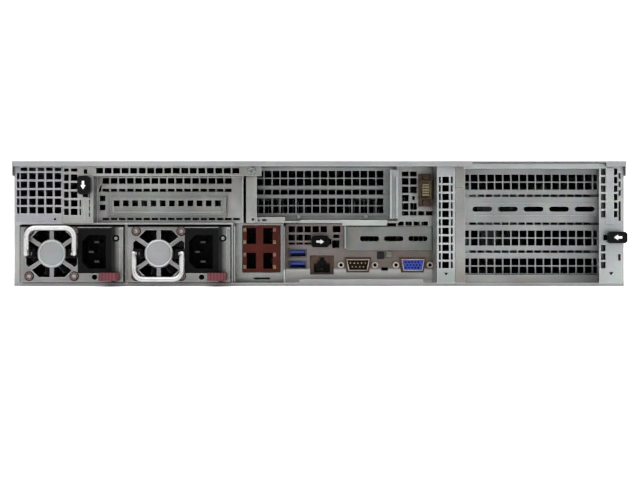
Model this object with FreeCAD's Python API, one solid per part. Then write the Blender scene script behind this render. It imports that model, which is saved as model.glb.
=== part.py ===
"""2U rack server, as an assembly of separate pieces, in millimetres.

Frame: X runs to the right seen from the rear, Y from the rear (negative) to the front, Z up.
The origin is the centre of the chassis underside. The rear face, with the sockets, is at Y = REAR.
"""
import FreeCAD, Part
import math
import os

V = FreeCAD.Vector

# ---------------------------------------------------------------- chassis
CHASSIS_W = 437.0          # over the cover's side flanges
CHASSIS_H = 89.0           # underside to top of the cover
CHASSIS_D = 723.0          # rear face to front of the rack ears
WALL = 1.2                 # steel sheet of tray, cages and shelves
PANEL = 1.0                # thinner sheet of covers, brackets and blanking plates
COVER_GAP = 0.3            # between a cover and the tray inside it
COVER_FLANGE = 10.5        # height of a cover's side flange
COVER_LIP = 3.8            # height of the cover's rear lip
COVER_SPLIT = 212.0        # length of the fixed front cover
COVER_JOIN = 0.6           # gap between the two covers
LIP_CUT = (109.0, 204.2)   # stretch where the rear lip is left out
TRAY_LIP = 2.2             # upstand along the tray's rear edge
IO_LIP = (-14.0, 74.0, 4.6)                     # higher stretch of it: x0, x1, height
TRAY_RIM = 6.0             # inward rim along the top of each side wall
HEM = 4.0                  # rear flange of the left side wall
CLEAR = 0.3                # general clearance of a piece that slides or lifts
BUTTON = (30.0, 18.0, 2.0) # cover button: length, width, travel
BUTTON_INSET = 34.0        # from the main cover's front edge to its button
BUTTON_WELL = 3.5
RAIL_SLOT = (6.0, 14.0)    # height and length of a rail hook slot
RAIL_SLOTS_Y = (-300.0, -90.0, 120.0, 300.0)

REAR = -CHASSIS_D / 2
FRONT = CHASSIS_D / 2
TRAY_X = CHASSIS_W / 2 - PANEL - COVER_GAP      # outside of a side wall
IN_X = TRAY_X - WALL                            # inside of a side wall
TRAY_TOP = CHASSIS_H - PANEL - COVER_GAP
SPLIT_Y = FRONT - COVER_SPLIT
BUTTON_Y = SPLIT_Y - BUTTON_INSET
LIP_Y = REAR - 2 * PANEL - CLEAR                # outside of the cover's rear lip, over the brackets' flanges

# ---------------------------------------------------------------- power supplies
PSU_W = 73.1
PSU_H = 40.1
PSU_D = 203.0
PSU_SKIN = 1.0             # sheet of a supply's case
PSU_FACE = 1.6             # its rear face plate
PSU_CLEAR = 0.5            # each side, in the bay
PSU_HEAD = 1.0             # over the supply, under the shelf
PSU_STAND = 0.3            # under the supply
BAY_WALL = 2.0             # partition between the two bays
BAY_EXTRA = 12.0           # bay length past the supply
BAY_INSET = 1.2            # from the tray's wall to the cage
FAN_INSET = 22.2           # fan centre from the supply's left side
FAN_RISE = 20.4            # fan centre above the supply's underside
FAN_BOLTS = 32.0           # fan screw spacing
GRILLE_HUB_R = 10.2
GRILLE_W, GRILLE_H, GRILLE_CORNER = 36.4, 33.6, 9.0
SPOKE_W = 2.8
SPOKE_ANGLES = (90, 270, 35, 145, 215, 325)
EAR_TAB = (6.6, 6.4)       # length and height of the tabs in the grille that carry the handle's ears
PSU_FAN_PIN_R = 1.5
PIN_GAP = 0.05             # radial running clearance of a pin
PSU_ROTOR_R = 16.2
PSU_ROTOR_HUB = 8.5
PSU_ROTOR_T = 11.0
PSU_ROTOR_STAND = 2.0      # from the face plate to the blades
INLET_W, INLET_H = 24.0, 32.4
INLET_X = 40.7             # inlet's left side from the supply's left side
INLET_Z = 6.4              # inlet's foot above the supply's underside
SOCKET_W, SOCKET_H, SOCKET_DEEP, SOCKET_CUT = 17.1, 24.0, 17.0, 4.6
SOCKET_X = 2.9             # socket's left side from the inlet's left side
SOCKET_FLOOR = 3.0
BLADE = (3.6, 1.4, 13.0)   # contact blade: width, height, length
LINE_PITCH = 14.0
EARTH_OFFSET = 4.0
HANDLE_R = 1.8
HANDLE_SPAN = 33.8         # between the centres of the two arms
HANDLE_ARM = 18.2
HANDLE_BEND = 6.5
HANDLE_PIN_R = 1.2
HANDLE_OUT = 4.2           # handle's plane from the face plate
EAR_T = 1.6                # handle ears: thickness and half height
EAR_HALF = 2.2
RELEASE_W, RELEASE_H, RELEASE_OUT = 12.4, 6.6, 11.0
RELEASE_X = 57.9           # release tab's left side from the supply's left side
RELEASE_Z = 0.4            # tab's foot above the supply's underside
RELEASE_T = 1.6
RELEASE_TRAVEL = 3.5
SHANK = (6.0, 3.0, 9.0)    # shank of the release tab: width, height, length inside the case
LAMP = (67.9, 31.3, 2.6)   # status lamp: from the left side, above the underside, radius
LAMP_RIM = 0.6             # clear ring round a lamp
SIDE_FOLD = (2.6, 1.2)     # folded edge at the face's right side: width and how far it stands out
SCREW_R, SCREW_HEAD = 2.6, 0.9
FAN_SCREW_R = 1.3          # shank of a fan screw
CROSS = (2.6, 0.5, 0.7)    # its cross recess: length, width, depth
POKE = (52.7, 3.6, 2.0)    # round hole under the inlet, same order

PSU_X0 = -IN_X + BAY_INSET + BAY_WALL + PSU_CLEAR
PSU_PITCH = PSU_W + 2 * PSU_CLEAR + BAY_WALL
PSU_LEFTS = (PSU_X0, PSU_X0 + PSU_PITCH)
BAY_FLOOR = 2 * WALL
PSU_Z0 = BAY_FLOOR + PSU_STAND
PSU_TOP = PSU_Z0 + PSU_H
SHELF_Z = PSU_TOP + PSU_HEAD                    # underside of the shelf over the supplies
SHELF_TOP = SHELF_Z + WALL
BAY_X1 = PSU_LEFTS[1] + PSU_W + PSU_CLEAR       # inner face of the bay's right wall
CAGE_X1 = BAY_X1 + WALL
FAN_Z = PSU_Z0 + FAN_RISE

# ---------------------------------------------------------------- vent patterns
PITCH = 6.06               # square holes of the rear panels
HOLE = 4.8
SLOT_PITCH = 20.32         # expansion slots
COVER_PITCH = 5.92         # square holes of the blanking plates
COVER_HOLE = 5.1
BLANK_H = 18.3             # height of a blanking plate

# ---------------------------------------------------------------- rear left
VENT_X1 = -182.6           # right edge of the corner vent panel
VENT_COLS = 5
VENT_COL_X = -210.3        # first whole column
VENT_ROW_Z = 54.0          # lowest row
VENT_HALF_COL = 2.0        # narrow column beside the side wall
VENT_TOP_ROW = 2.6         # height of the cut top row
VENT_TOP_EDGE = 2.3        # plain sheet over it, at least

LEFT_DEEP = 13.0           # recess of the left slot
LEFT_X0, LEFT_X1 = -161.7, -53.9
LEFT_FLANGE_X0 = -182.3
STRIP_H = 9.3              # strip over the recess, from the tray's top to its foot
LEFT_TOP_HOLES = (17, 5.1, 4.2)                 # count, width, height
STRIP_END = -41.0          # right end of the strip over the recess
LEFT_ROW_X = -154.6
LEFT_BLANK = (-153.2, -66.6)
LEFT_SLOT_Z = 58.6         # centre of the left slot
LEFT_BLANK_HOLES = (12, 6.67, 4.3)              # count, pitch, width
FRAME_OUT = 0.8            # how far a raised frame stands out of its plate
LEFT_WALL_D = 170.0        # length of the bracket's inner wall
LEFT_ROW_Z = 52.8          # lowest row of the flange
LEFT_ROW_PITCH = 6.1
LEFT_TOP_ROW = (4.8, 2.4)  # cut top row: below the flange's top, height
LEFT_BACK_ROWS = ((2.7, 4.2), (9.5, 2.3))       # rows of the recess's back: below the strip, height

LEFT_STRIP_Z = TRAY_TOP - STRIP_H
VENT_ROWS = 1 + int((TRAY_TOP - CLEAR - VENT_ROW_Z - HOLE / 2 - VENT_TOP_ROW - VENT_TOP_EDGE) / PITCH)
LEFT_ROWS = 1 + int((TRAY_TOP - CLEAR - sum(LEFT_TOP_ROW) - LEFT_ROW_Z - HOLE / 2) / LEFT_ROW_PITCH)

# ---------------------------------------------------------------- rear middle
MID_DEEP = 30.0            # recess of the middle slots and of the socket panel
PILLAR_X0, PILLAR_X1 = -51.9, -44.4
MID_X1 = 57.2
MID_SLOT_Z = 58.2          # centre of the lower middle slot
MID_COLS = 16
MID_FIRST_COL = -43.7
RIB_X0, RIB_X1, RIB_D = 50.8, 56.2, 6.0
RIB_Z0, RIB_DROP = 48.2, 4.6                    # rib's foot, and its top under the tray's
SILL_Z = 46.4              # top of the sill under the middle slots
SILL_DROP = 3.2
SILL_X0, SILL_STEP, SILL_X1 = -13.1, 16.8, 48.7
SILL_PLATE = (-24.4, 49.0) # right end and top of the plain plate left of the sill
SLOT_RIM = 3.0             # a bracket's opening behind a blanking plate is this much smaller all round

RIB_Z1 = TRAY_TOP - RIB_DROP
SLOT_HALF = BLANK_H / 2 - SLOT_RIM
MID_SLOTS = 1 + int((TRAY_TOP - CLEAR - PANEL - MID_SLOT_Z - SLOT_HALF) / SLOT_PITCH)

# ---------------------------------------------------------------- rear right
POST_X0, POST_X1 = 84.1, 96.9
POST_TOP = 9.0             # from the tray's top to the last row's centre, at least
POST_ROW_Z = 15.0
RIGHT_X0, RIGHT_X1 = 103.1, 204.2
END_X0 = 199.6             # left edge of the end post, which hides the recess's right end
RIGHT_DEEP = 15.0
RIGHT_SLOT_Z = 14.1        # centre of the lowest right slot
RIGHT_COLS = 15
RIGHT_FIRST_COL = 112.65
RIGHT_HALF_COLS = ((107.2, 3.4), (200.5, 2.8))  # narrow first and last columns: centre, width
RIGHT_LONG_X, RIGHT_LONG_PITCH = 118.5, 18.6    # long slots of the third blanking plate
END_COL_X = 202.6
END_RIB = (204.6, 209.6)   # raised rib of the end post: sides
END_RIB_Z = (44.0, 3.7)    # its foot, and its top under the tray's
END_ROW_Z = 51.2           # lowest row beside the rib
END_TOP = 3.5              # from the tray's top to the last row's centre, at least
END_SHORT_Z = 66.4         # lowest row of the short holes at the side wall
END_SHORT_TOP = 5.0
RIGHT_WALL_D = 250.0
HEAD_H = 4.4               # height of the band over the right recess
TOE_H = 7.6                # top of the plain strip under it
LONG_BLANK = 2             # the blanking plate with long slots, counted from the lowest

POST_ROWS = 1 + int((TRAY_TOP - POST_TOP - POST_ROW_Z) / PITCH)
RIGHT_SLOTS = 1 + int((TRAY_TOP - CLEAR - RIGHT_SLOT_Z - BLANK_H / 2) / SLOT_PITCH)
END_ROWS = 1 + int((TRAY_TOP - END_TOP - END_ROW_Z) / PITCH)
END_SHORT_ROWS = 1 + int((TRAY_TOP - END_SHORT_TOP - END_SHORT_Z) / PITCH)

# ---------------------------------------------------------------- sockets
IO_X0, IO_X1 = -24.5, POST_X0
IO_TOP = 45.0
IO_TOP_RIGHT = 43.0        # lower top edge right of the fin
IO_FIN_X = 18.8
LOW_BLANK = (20.0, 83.6, 25.2, 42.6)            # low blanking plate: x0, x1, z0, z1
OBROUND = (14.4, 3.7)
USB = (13.1, 5.6, 14.0)    # shell width, height, depth
USB_X = -15.9
USB_Z = (14.5, 23.1)
LAN = (17.0, 13.6, 16.0)   # management socket: width, height, depth
LAN_X, LAN_Z = 2.1, 14.3
DSUB_SCREWS = 24.99
DSUB_SHELL = (16.9, 8.3, 6.0)
DSUB_FLANGE = (29.4, 12.5)
DSUB_SLANT = 1.5
SERIAL_X, VGA_X, DSUB_Z = 28.7, 69.2, 14.4
JACK_R, JACK_L = 2.3, 5.0
JACK_BORE_R = 1.3          # thread of a jack post
SIDE_PORT = (78.4, TRAY_TOP - 18.1)             # upright port: x, z
SIDE_PORT_BODY = (9.2, 14.2, 8.0)
ID_X, ID_Z, ID_SIZE = 45.8, 21.5, 4.6
ID_TRAVEL = 1.0
ID_OUT = 0.4               # button's face from the panel when it is pressed
ID_LAMP, ID_LAMP_SIZE = (51.8, 21.9), 4.6
FRONT_LAMP_X, FRONT_LAMP_PITCH = -182.0, 4.8
QUAD_X0, QUAD_X1, QUAD_Z0, QUAD_Z1 = -55.8, -28.5, 9.4, 43.2
QUAD_DEEP = 22.0
QUAD_LONG = 24.0
QUAD_PORT = (6.8, 11.6, 14.0)                   # opening of a socket: width, height, depth
QUAD_PORT_X = (-49.5, -37.3)                    # centres of the two columns of sockets
QUAD_PORT_Z = (17.6, 35.8) # and of the two rows
QUAD_LAMP = (2.2, 2.6)     # lamp beside a socket's end: width, height
QUAD_PLATE_D = 20.0

# ---------------------------------------------------------------- latches
LATCH_PAD = (13.1, 8.2, 5.0)                    # length, width, thickness
LATCH_SHANK = (6.0, 3.6)
LATCH_STAND = 3.0          # pad from the sheet
LATCH_TRAVEL = 5.0
LATCH_FLANGE = 1.2         # thickness of the flange behind the sheet
LATCH_LAP = 1.6            # flange over shank
LATCH_LEFT = (-166.2, TRAY_TOP - 16.1)
LATCH_MIDDLE = (0.8, 31.6)
LATCH_RIGHT = (211.0, 34.6)

# ---------------------------------------------------------------- drives
BAY_COLS, BAY_ROWS = 4, 2
COL_PITCH = 107.2
ROW_PITCH = 28.0
CAGE_D = 188.0
CAGE_T = 1.0
BEZEL_D = 16.0
BEZEL_T = 2.0
CARRIER_GAP = 0.3
CARRIER_RAIL = 1.8
CARRIER_L = 168.0
DRIVE = (101.6, 147.0, 25.0)
LEDGE = 1.4
LEVER_L, LEVER_T = 88.0, 4.0
LEVER_SIDE_GAP = 0.5
LEVER_PIN_R = 1.4
LEVER_INSET = 0.4          # lever's face behind the front plane
LEVER_RECESS = 6.5
BOARD_T = 2.0
BACKPLANE_DROP = 3.0       # backplane's top under the tray's top

CAGE_Z0 = WALL
CARRIER_W = COL_PITCH - CAGE_T - 2 * CARRIER_GAP
CARRIER_H = ROW_PITCH - 2 * CARRIER_GAP - LEDGE
CAGE_X0 = -COL_PITCH * BAY_COLS / 2
CAGE_TOP = CAGE_Z0 + CAGE_T + ROW_PITCH * BAY_ROWS
CAGE_Y0 = FRONT - CAGE_D

# ---------------------------------------------------------------- front strip, ears
STRIP_T = 2.0
STRIP_X = 212.0
EAR_OUT = 24.1             # ear past the side wall
EAR_THICK = 2.0
EAR_SHORT = 0.45           # ear's ends from the chassis's top and underside
EAR_LEG = 46.0             # length of the leg along the side wall
RACK_INSET = 8.75          # rack screws from the ear's edge
RACK_EDGE = 6.4            # and from the chassis's top and underside
RACK_SLOT = (10.3, 3.4)    # slot length and half width
GRIP = (8.0, 10.0, 32.0)   # ear handle: width, thickness, reach
GRIP_INSET = 6.0           # from the ear's edge
GRIP_END = 15.0            # from the chassis's top and underside
POWER_X, POWER_R = -196.0, 5.0
POWER_TRAVEL = 1.5
POWER_SOCKET = 7.0
FRONT_USB_X = (180.0, 198.0)
FRONT_VENT = (7.4, 5.8, 5.6, 4.2)               # front vents: pitches, width, height
FRONT_VENT_X, FRONT_VENT_Z = -172.0, 6.4        # first one: x, and its height over the drive cage
FRONT_VENT_EDGE = 3.4      # from the tray's top to the last row's centre, at least
FRONT_LAMP_Z, FRONT_LAMP_EDGE = 5.6, 6.0        # the same for the lamps

EAR_W = 2 * (TRAY_X + EAR_OUT)                  # over the two rack ears
EAR_H = CHASSIS_H - 2 * EAR_SHORT
RACK_X = EAR_W - 2 * RACK_INSET                 # spacing of the rack screws
RACK_Z = CHASSIS_H - 2 * RACK_EDGE
GRIP_Z0, GRIP_Z1 = GRIP_END, CHASSIS_H - GRIP_END
POWER_Z = FRONT_USB_Z = (CAGE_TOP + TRAY_TOP) / 2
FRONT_VENT_ROWS = 1 + int((TRAY_TOP - FRONT_VENT_EDGE - CAGE_TOP - FRONT_VENT_Z) / FRONT_VENT[1])
FRONT_VENT_COLS = 1 + int((FRONT_USB_X[0] - USB[0] - FRONT_VENT[0] / 2 - FRONT_VENT_X) / FRONT_VENT[0])
FRONT_LAMPS = 1 + int((TRAY_TOP - FRONT_LAMP_EDGE - CAGE_TOP - FRONT_LAMP_Z) / FRONT_LAMP_PITCH)

# ---------------------------------------------------------------- cooling
FAN_ROOM = 5.1             # from the tray's top to the fan frames
FAN_D = 38.0
FAN_COUNT = 3
FAN_PITCH = 142.0
FAN_FRONT = 222.0          # from the front plane to the fans' intake side
FAN_RIM = 2.5              # thinnest part of a fan frame, beside its bore
FAN_HUB = 17.0
FAN_BLADES = 7
BLADE_ROOT = 0.8           # how far a rotor blade reaches into its hub
BLADE_SLANT = 0.38         # half rise of a blade over its depth, as a share of the hub's radius
FAN_PIN_R = 3.0
STRUT = 4.0
BLADE_GAP = 1.0
WALL_DROP = 3.7            # fan wall and shroud under the tray's top
FAN_FOOT = 1.4             # fan frames over the tray's floor

# ---------------------------------------------------------------- main board
STANDOFF = 4.5
STANDOFF_R = 3.0
MAIN_T = 1.8
MAIN_FAN_GAP = 3.5         # from the board's front edge to the fans
MAIN_X = 212.0
SOCKET_SIZE, SOCKET_T = 76.0, 4.0               # processor socket: side and height
BOARD_PARTS = (            # chips and headers: x, y, width, length, height
    (60, -150, 34, 34, 6), (20, -190, 22, 22, 3), (150, -140, 18, 18, 2.4), (180, -90, 30, 8, 9),
    (-180, -40, 9, 40, 11), (-206, 60, 40, 9, 9), (20, -90, 70, 7, 9))
SINK = (92.0, 92.0)        # cooler: width and length
SINK_ROOM = 8.7            # cooler's top under the shroud's roof
SINK_X = (-62.0, 76.0)
SINK_Y = 10.0
SINK_BASE = 5.0
FINS = 19
FIN_T = 1.2
DIMM = (4.0, 133.0, 30.0)
DIMM_SLOT = (7.0, 141.0, 8.0)
DIMM_SEAT = 5.0            # depth of a module in its socket
DIMM_PITCH = 9.5
SHROUD_T = 1.8
CARD_SOCKET = (89.0, 9.0)  # card socket: length and depth

FAN_Y1 = FRONT - FAN_FRONT                      # intake side of the fans
FAN_SIZE = TRAY_TOP - FAN_ROOM - WALL - FAN_FOOT
FAN_BORE = FAN_SIZE / 2 - FAN_RIM
FAN_CZ = WALL + FAN_FOOT + FAN_SIZE / 2         # height of their centres
SHROUD_TOP = FAN_WALL_H = TRAY_TOP - WALL_DROP
MAIN_FRONT = FAN_Y1 - FAN_D - MAIN_FAN_GAP
MAIN_Z = WALL + STANDOFF
MAIN_TOP = MAIN_Z + MAIN_T
SINK_TOP = SHROUD_TOP - SHROUD_T - SINK_ROOM


# ================================================================ helpers
def block(x0, x1, y0, y1, z0, z1):
    """A box between two corners."""
    return Part.makeBox(x1 - x0, y1 - y0, z1 - z0, V(x0, y0, z0))


def fused(*shapes):
    """One solid of several that touch."""
    shape = shapes[0].fuse(list(shapes[1:]))
    return shape.removeSplitter()


def loop(points):
    """A closed wire through the points."""
    return Part.makePolygon([V(*p) for p in points] + [V(*points[0])])


def window(x0, x1, z0, z1):
    """The outline of a rectangular hole in a plate that faces Y."""
    return loop([(x0, 0, z0), (x1, 0, z0), (x1, 0, z1), (x0, 0, z1)])


def disc(x, z, r):
    """The outline of a round hole in a plate that faces Y."""
    return Part.Wire(Part.makeCircle(r, V(x, 0, z), V(0, 1, 0)))


def obround(x, z, length, height):
    """The outline of a slot with round ends, centred on x, z."""
    r = height / 2
    a = length / 2 - r
    top = Part.makeLine(V(x - a, 0, z + r), V(x + a, 0, z + r))
    right = Part.Arc(V(x + a, 0, z + r), V(x + a + r, 0, z), V(x + a, 0, z - r)).toShape()
    foot = Part.makeLine(V(x + a, 0, z - r), V(x - a, 0, z - r))
    left = Part.Arc(V(x - a, 0, z - r), V(x - a - r, 0, z), V(x - a, 0, z + r)).toShape()
    return Part.Wire([top, right, foot, left])


def centred(x, z, width, height):
    """A rectangular hole's outline about its centre."""
    return window(x - width / 2, x + width / 2, z - height / 2, z + height / 2)


def grid(x, z, columns, rows, pitch_x, pitch_z, width, height):
    """Outlines of a grid of rectangular holes; x, z is the first hole's centre."""
    return [centred(x + i * pitch_x, z + j * pitch_z, width, height)
            for j in range(rows) for i in range(columns)]


def plate(x0, x1, z0, z1, y, thickness, holes=()):
    """A plate that faces Y, from y inwards, with holes through it."""
    face = Part.makeFace([window(x0, x1, z0, z1), *holes], "Part::FaceMakerBullseye")
    face.translate(V(0, y, 0))
    return face.extrude(V(0, thickness, 0))


def prism_y(points, y0, y1):
    """A prism along Y over an outline of (x, z) points."""
    face = Part.Face(loop([(x, y0, z) for x, z in points]))
    return face.extrude(V(0, y1 - y0, 0))


def rod_y(x, z, r, y0, y1):
    """A round bar along Y."""
    return Part.makeCylinder(r, y1 - y0, V(x, y0, z), V(0, 1, 0))


def group(solids):
    """Several separate solids as one node."""
    return Part.makeCompound(solids)


# ================================================================ chassis and covers
def chassis_tray():
    """Floor, side walls with their inward rims, rear upstand and board standoffs."""
    floor = block(-TRAY_X, TRAY_X, REAR, FRONT - EAR_THICK, 0, WALL)
    parts = [floor]
    for side in (-1, 1):
        x0, x1 = sorted((side * IN_X, side * TRAY_X))
        wall = block(x0, x1, REAR, FRONT - EAR_THICK, 0, TRAY_TOP)
        for y in RAIL_SLOTS_Y:
            slot = block(x0 - 1, x1 + 1, y, y + RAIL_SLOT[1], CHASSIS_H / 2, CHASSIS_H / 2 + RAIL_SLOT[0])
            wall = wall.cut(slot)
        r0, r1 = sorted((side * (IN_X - TRAY_RIM), side * IN_X))
        rim = block(r0, r1, REAR + 60, CAGE_Y0 - 20, TRAY_TOP - WALL, TRAY_TOP)
        parts += [wall, rim]
    parts.append(block(-TRAY_X, -TRAY_X + HEM, REAR, REAR + WALL, 0, SHELF_Z))
    parts.append(block(-TRAY_X, TRAY_X, REAR, REAR + WALL, 0, TRAY_LIP))
    parts.append(block(IO_LIP[0], IO_LIP[1], REAR, REAR + WALL, 0, IO_LIP[2]))
    for x, y in standoffs():
        parts.append(Part.makeCylinder(STANDOFF_R, STANDOFF, V(x, y, WALL)))
    return fused(*parts)


def standoffs():
    """Places of the main board's standoffs."""
    rear_edge = REAR + MID_DEEP + 16
    return [(x, y) for x in (-12.0, 100.0, 200.0) for y in (rear_edge, -180.0, -70.0)] + [
        (x, y) for x in (-200.0, -120.0, 0.0, 140.0, 200.0) for y in (-20.0, MAIN_FRONT - 12)]


def cover_shell(y0, y1):
    """A flat cover with a flange down each side."""
    half = CHASSIS_W / 2
    top = block(-half, half, y0, y1, CHASSIS_H - PANEL, CHASSIS_H)
    sides = [block(min(s * half, s * (half - PANEL)), max(s * half, s * (half - PANEL)),
                   y0, y1, CHASSIS_H - COVER_FLANGE, CHASSIS_H) for s in (-1, 1)]
    return fused(top, *sides)


def top_cover():
    """Main cover: a rear lip with a gap in it, and the well of its release button."""
    shell = cover_shell(LIP_Y, SPLIT_Y - COVER_JOIN)
    half = CHASSIS_W / 2
    lips = [block(-half, LIP_CUT[0], LIP_Y, LIP_Y + PANEL, CHASSIS_H - COVER_LIP, CHASSIS_H),
            block(LIP_CUT[1], half, LIP_Y, LIP_Y + PANEL, CHASSIS_H - COVER_LIP, CHASSIS_H)]
    w, d = BUTTON[0] / 2, BUTTON[1] / 2
    z0 = CHASSIS_H - PANEL - BUTTON_WELL
    outer = block(-w - PANEL - CLEAR, w + PANEL + CLEAR, BUTTON_Y - d - PANEL - CLEAR,
                  BUTTON_Y + d + PANEL + CLEAR, z0 - PANEL, CHASSIS_H - PANEL)
    inner = block(-w - CLEAR, w + CLEAR, BUTTON_Y - d - CLEAR, BUTTON_Y + d + CLEAR, z0, CHASSIS_H + 1)
    return fused(shell, *lips, outer).cut(inner)


def cover_button():
    """Release button in the cover's well."""
    w, d = BUTTON[0] / 2, BUTTON[1] / 2
    z0 = CHASSIS_H - PANEL - BUTTON_WELL + BUTTON[2] + CLEAR / 2
    body = block(-w, w, BUTTON_Y - d, BUTTON_Y + d, z0, CHASSIS_H - 0.4)
    dish = block(-w + 3, w - 3, BUTTON_Y - d + 3, BUTTON_Y + d - 3, CHASSIS_H - 0.9, CHASSIS_H)
    return body.cut(dish)


def front_cover():
    """Fixed cover over the drive cage."""
    return cover_shell(SPLIT_Y, FRONT - EAR_THICK - CLEAR)


# ================================================================ rear left
def psu_cage():
    """Tube with a partition that the two power supplies slide in, and the shelf over them."""
    length = PSU_D + BAY_EXTRA
    x0 = PSU_LEFTS[0] - PSU_CLEAR - BAY_WALL
    outer = block(x0, CAGE_X1, REAR + WALL, REAR + length, WALL, SHELF_TOP)
    for left in PSU_LEFTS:
        outer = outer.cut(block(left - PSU_CLEAR, left + PSU_W + PSU_CLEAR, REAR, REAR + length + 1,
                                BAY_FLOOR, SHELF_Z))
    front_edge = block(-IN_X, CAGE_X1, REAR, REAR + WALL, SHELF_Z, SHELF_TOP)
    return fused(outer, front_edge)


def corner_vent():
    """Perforated sheet over the left supply, with a plain foot and a return flange."""
    top = TRAY_TOP - CLEAR
    holes = grid(VENT_COL_X, VENT_ROW_Z, VENT_COLS, VENT_ROWS, PITCH, PITCH, HOLE, HOLE)
    half_x = -IN_X + 0.6 + VENT_HALF_COL / 2
    holes += grid(half_x, VENT_ROW_Z, 1, VENT_ROWS, PITCH, PITCH, VENT_HALF_COL, HOLE)
    cut_z = VENT_ROW_Z + (VENT_ROWS - 0.5) * PITCH + (PITCH - HOLE) / 2 + VENT_TOP_ROW / 2
    holes += grid(VENT_COL_X, cut_z, VENT_COLS, 1, PITCH, PITCH, HOLE, VENT_TOP_ROW)
    holes.append(disc(-188.2, 47.6, 0.9))
    sheet = plate(-IN_X, VENT_X1, SHELF_TOP, top, REAR, PANEL, holes)
    flange = block(VENT_X1 - PANEL, VENT_X1, REAR, REAR + 18, SHELF_TOP, top)
    foot = block(-IN_X, VENT_X1, REAR, REAR + 18, SHELF_TOP, SHELF_TOP + PANEL)
    return fused(sheet, flange, foot)


def left_bracket():
    """Bracket of the left expansion slot: front flange, recess, perforated back and inner wall."""
    top = TRAY_TOP - CLEAR
    y = REAR - PANEL
    lx, lz = LATCH_LEFT
    rows = []
    for x, width in ((-179.8, 3.4), (-174.3, HOLE)):
        rows += grid(x, LEFT_ROW_Z, 1, LEFT_ROWS, PITCH, LEFT_ROW_PITCH, width, HOLE)
        rows.append(centred(x, top - LEFT_TOP_ROW[0], width, LEFT_TOP_ROW[1]))
    rows += grid(-169.9, LEFT_ROW_Z, 1, 2, PITCH, LEFT_ROW_PITCH, 1.2, HOLE)
    rows += grid(-163.4, 50.6, 1, 4, PITCH, 4.6, 0.9, 3.2)
    rows.append(centred(lx, top - 6.0, 2.6, 3.4))
    rows.append(centred(lx, lz - LATCH_TRAVEL / 2, LATCH_SHANK[1] + 2 * CLEAR,
                        LATCH_SHANK[0] + LATCH_TRAVEL + 2 * CLEAR))
    flange = plate(LEFT_FLANGE_X0, LEFT_X0, SHELF_TOP, top, y, PANEL, rows)
    rib = block(-167.6, -166.8, y - 0.7, y, 47.0, 61.0)
    count, width, height = LEFT_TOP_HOLES
    strip = plate(LEFT_X0, STRIP_END, LEFT_STRIP_Z, top, y, PANEL,
                  grid(-156.2, LEFT_STRIP_Z + 3.7, count, 1, PITCH, 1, width, height))
    back_y = REAR + LEFT_DEEP
    ceiling = LEFT_STRIP_Z + PANEL
    back_holes = grid(LEFT_ROW_X, 48.0, 17, 1, COVER_PITCH, 1, 4.9, 1.9)
    for drop, row_h in LEFT_BACK_ROWS:
        z = LEFT_STRIP_Z - drop
        if z - row_h / 2 > LEFT_SLOT_Z + BLANK_H / 2 - CLEAR:
            back_holes += grid(LEFT_ROW_X, z, 16, 1, COVER_PITCH, 1, 4.9, row_h)
    z = LEFT_STRIP_Z - 10.6
    back_holes.append(loop([(-160.2, 0, z), (-158.2, 0, z), (-157.6, 0, z + 4.2), (-157.6, 0, z + 7.2)]))
    back_holes += [centred(-157.0, 63.0, 4.2, 4.1), centred(-157.0, 56.4, 4.2, 4.1)]
    back_holes.append(window(LEFT_BLANK[0] + 2, LEFT_BLANK[1] - 2, LEFT_SLOT_Z - 6, LEFT_SLOT_Z + 6))
    back = plate(LEFT_X0, LEFT_X1, SHELF_TOP, ceiling, back_y, PANEL, back_holes)
    walls = [block(LEFT_X0, LEFT_X0 + PANEL, y, back_y, SHELF_TOP, top),
             block(LEFT_X1 - PANEL, LEFT_X1, y, REAR + LEFT_WALL_D, SHELF_TOP, top),
             block(LEFT_X0, LEFT_X1, y, back_y, LEFT_STRIP_Z, ceiling)]
    return fused(flange, rib, strip, back, *walls)


def left_blank():
    """Blanking plate of the left slot, with a raised frame round a row of square holes."""
    x0, x1 = LEFT_BLANK
    count, pitch, width = LEFT_BLANK_HOLES
    z0, z1 = LEFT_SLOT_Z - BLANK_H / 2, LEFT_SLOT_Z + BLANK_H / 2
    y = REAR + LEFT_DEEP - PANEL
    span = (count - 1) * pitch
    holes = grid(x0 + (x1 - x0 - span) / 2, LEFT_SLOT_Z + 0.7, count, 1, pitch, 1, width, width)
    sheet = plate(x0, x1, z0, z1, y, PANEL, holes)
    f0, f1, g0, g1 = x0 + 2.4, x1 - 0.4, z0 + 1.4, z1 - 3.8
    frame = plate(f0, f1, g0, g1, y - FRAME_OUT, FRAME_OUT, [window(f0 + 2.2, f1 - 2.2, g0 + 2.2, g1 - 2.2)])
    tab = block(x1 - PANEL - 0.4, x1 - 0.4, y - 4.0, y, g0 + 3.0, g1 - 0.6)
    return fused(sheet, frame, tab)


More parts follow.
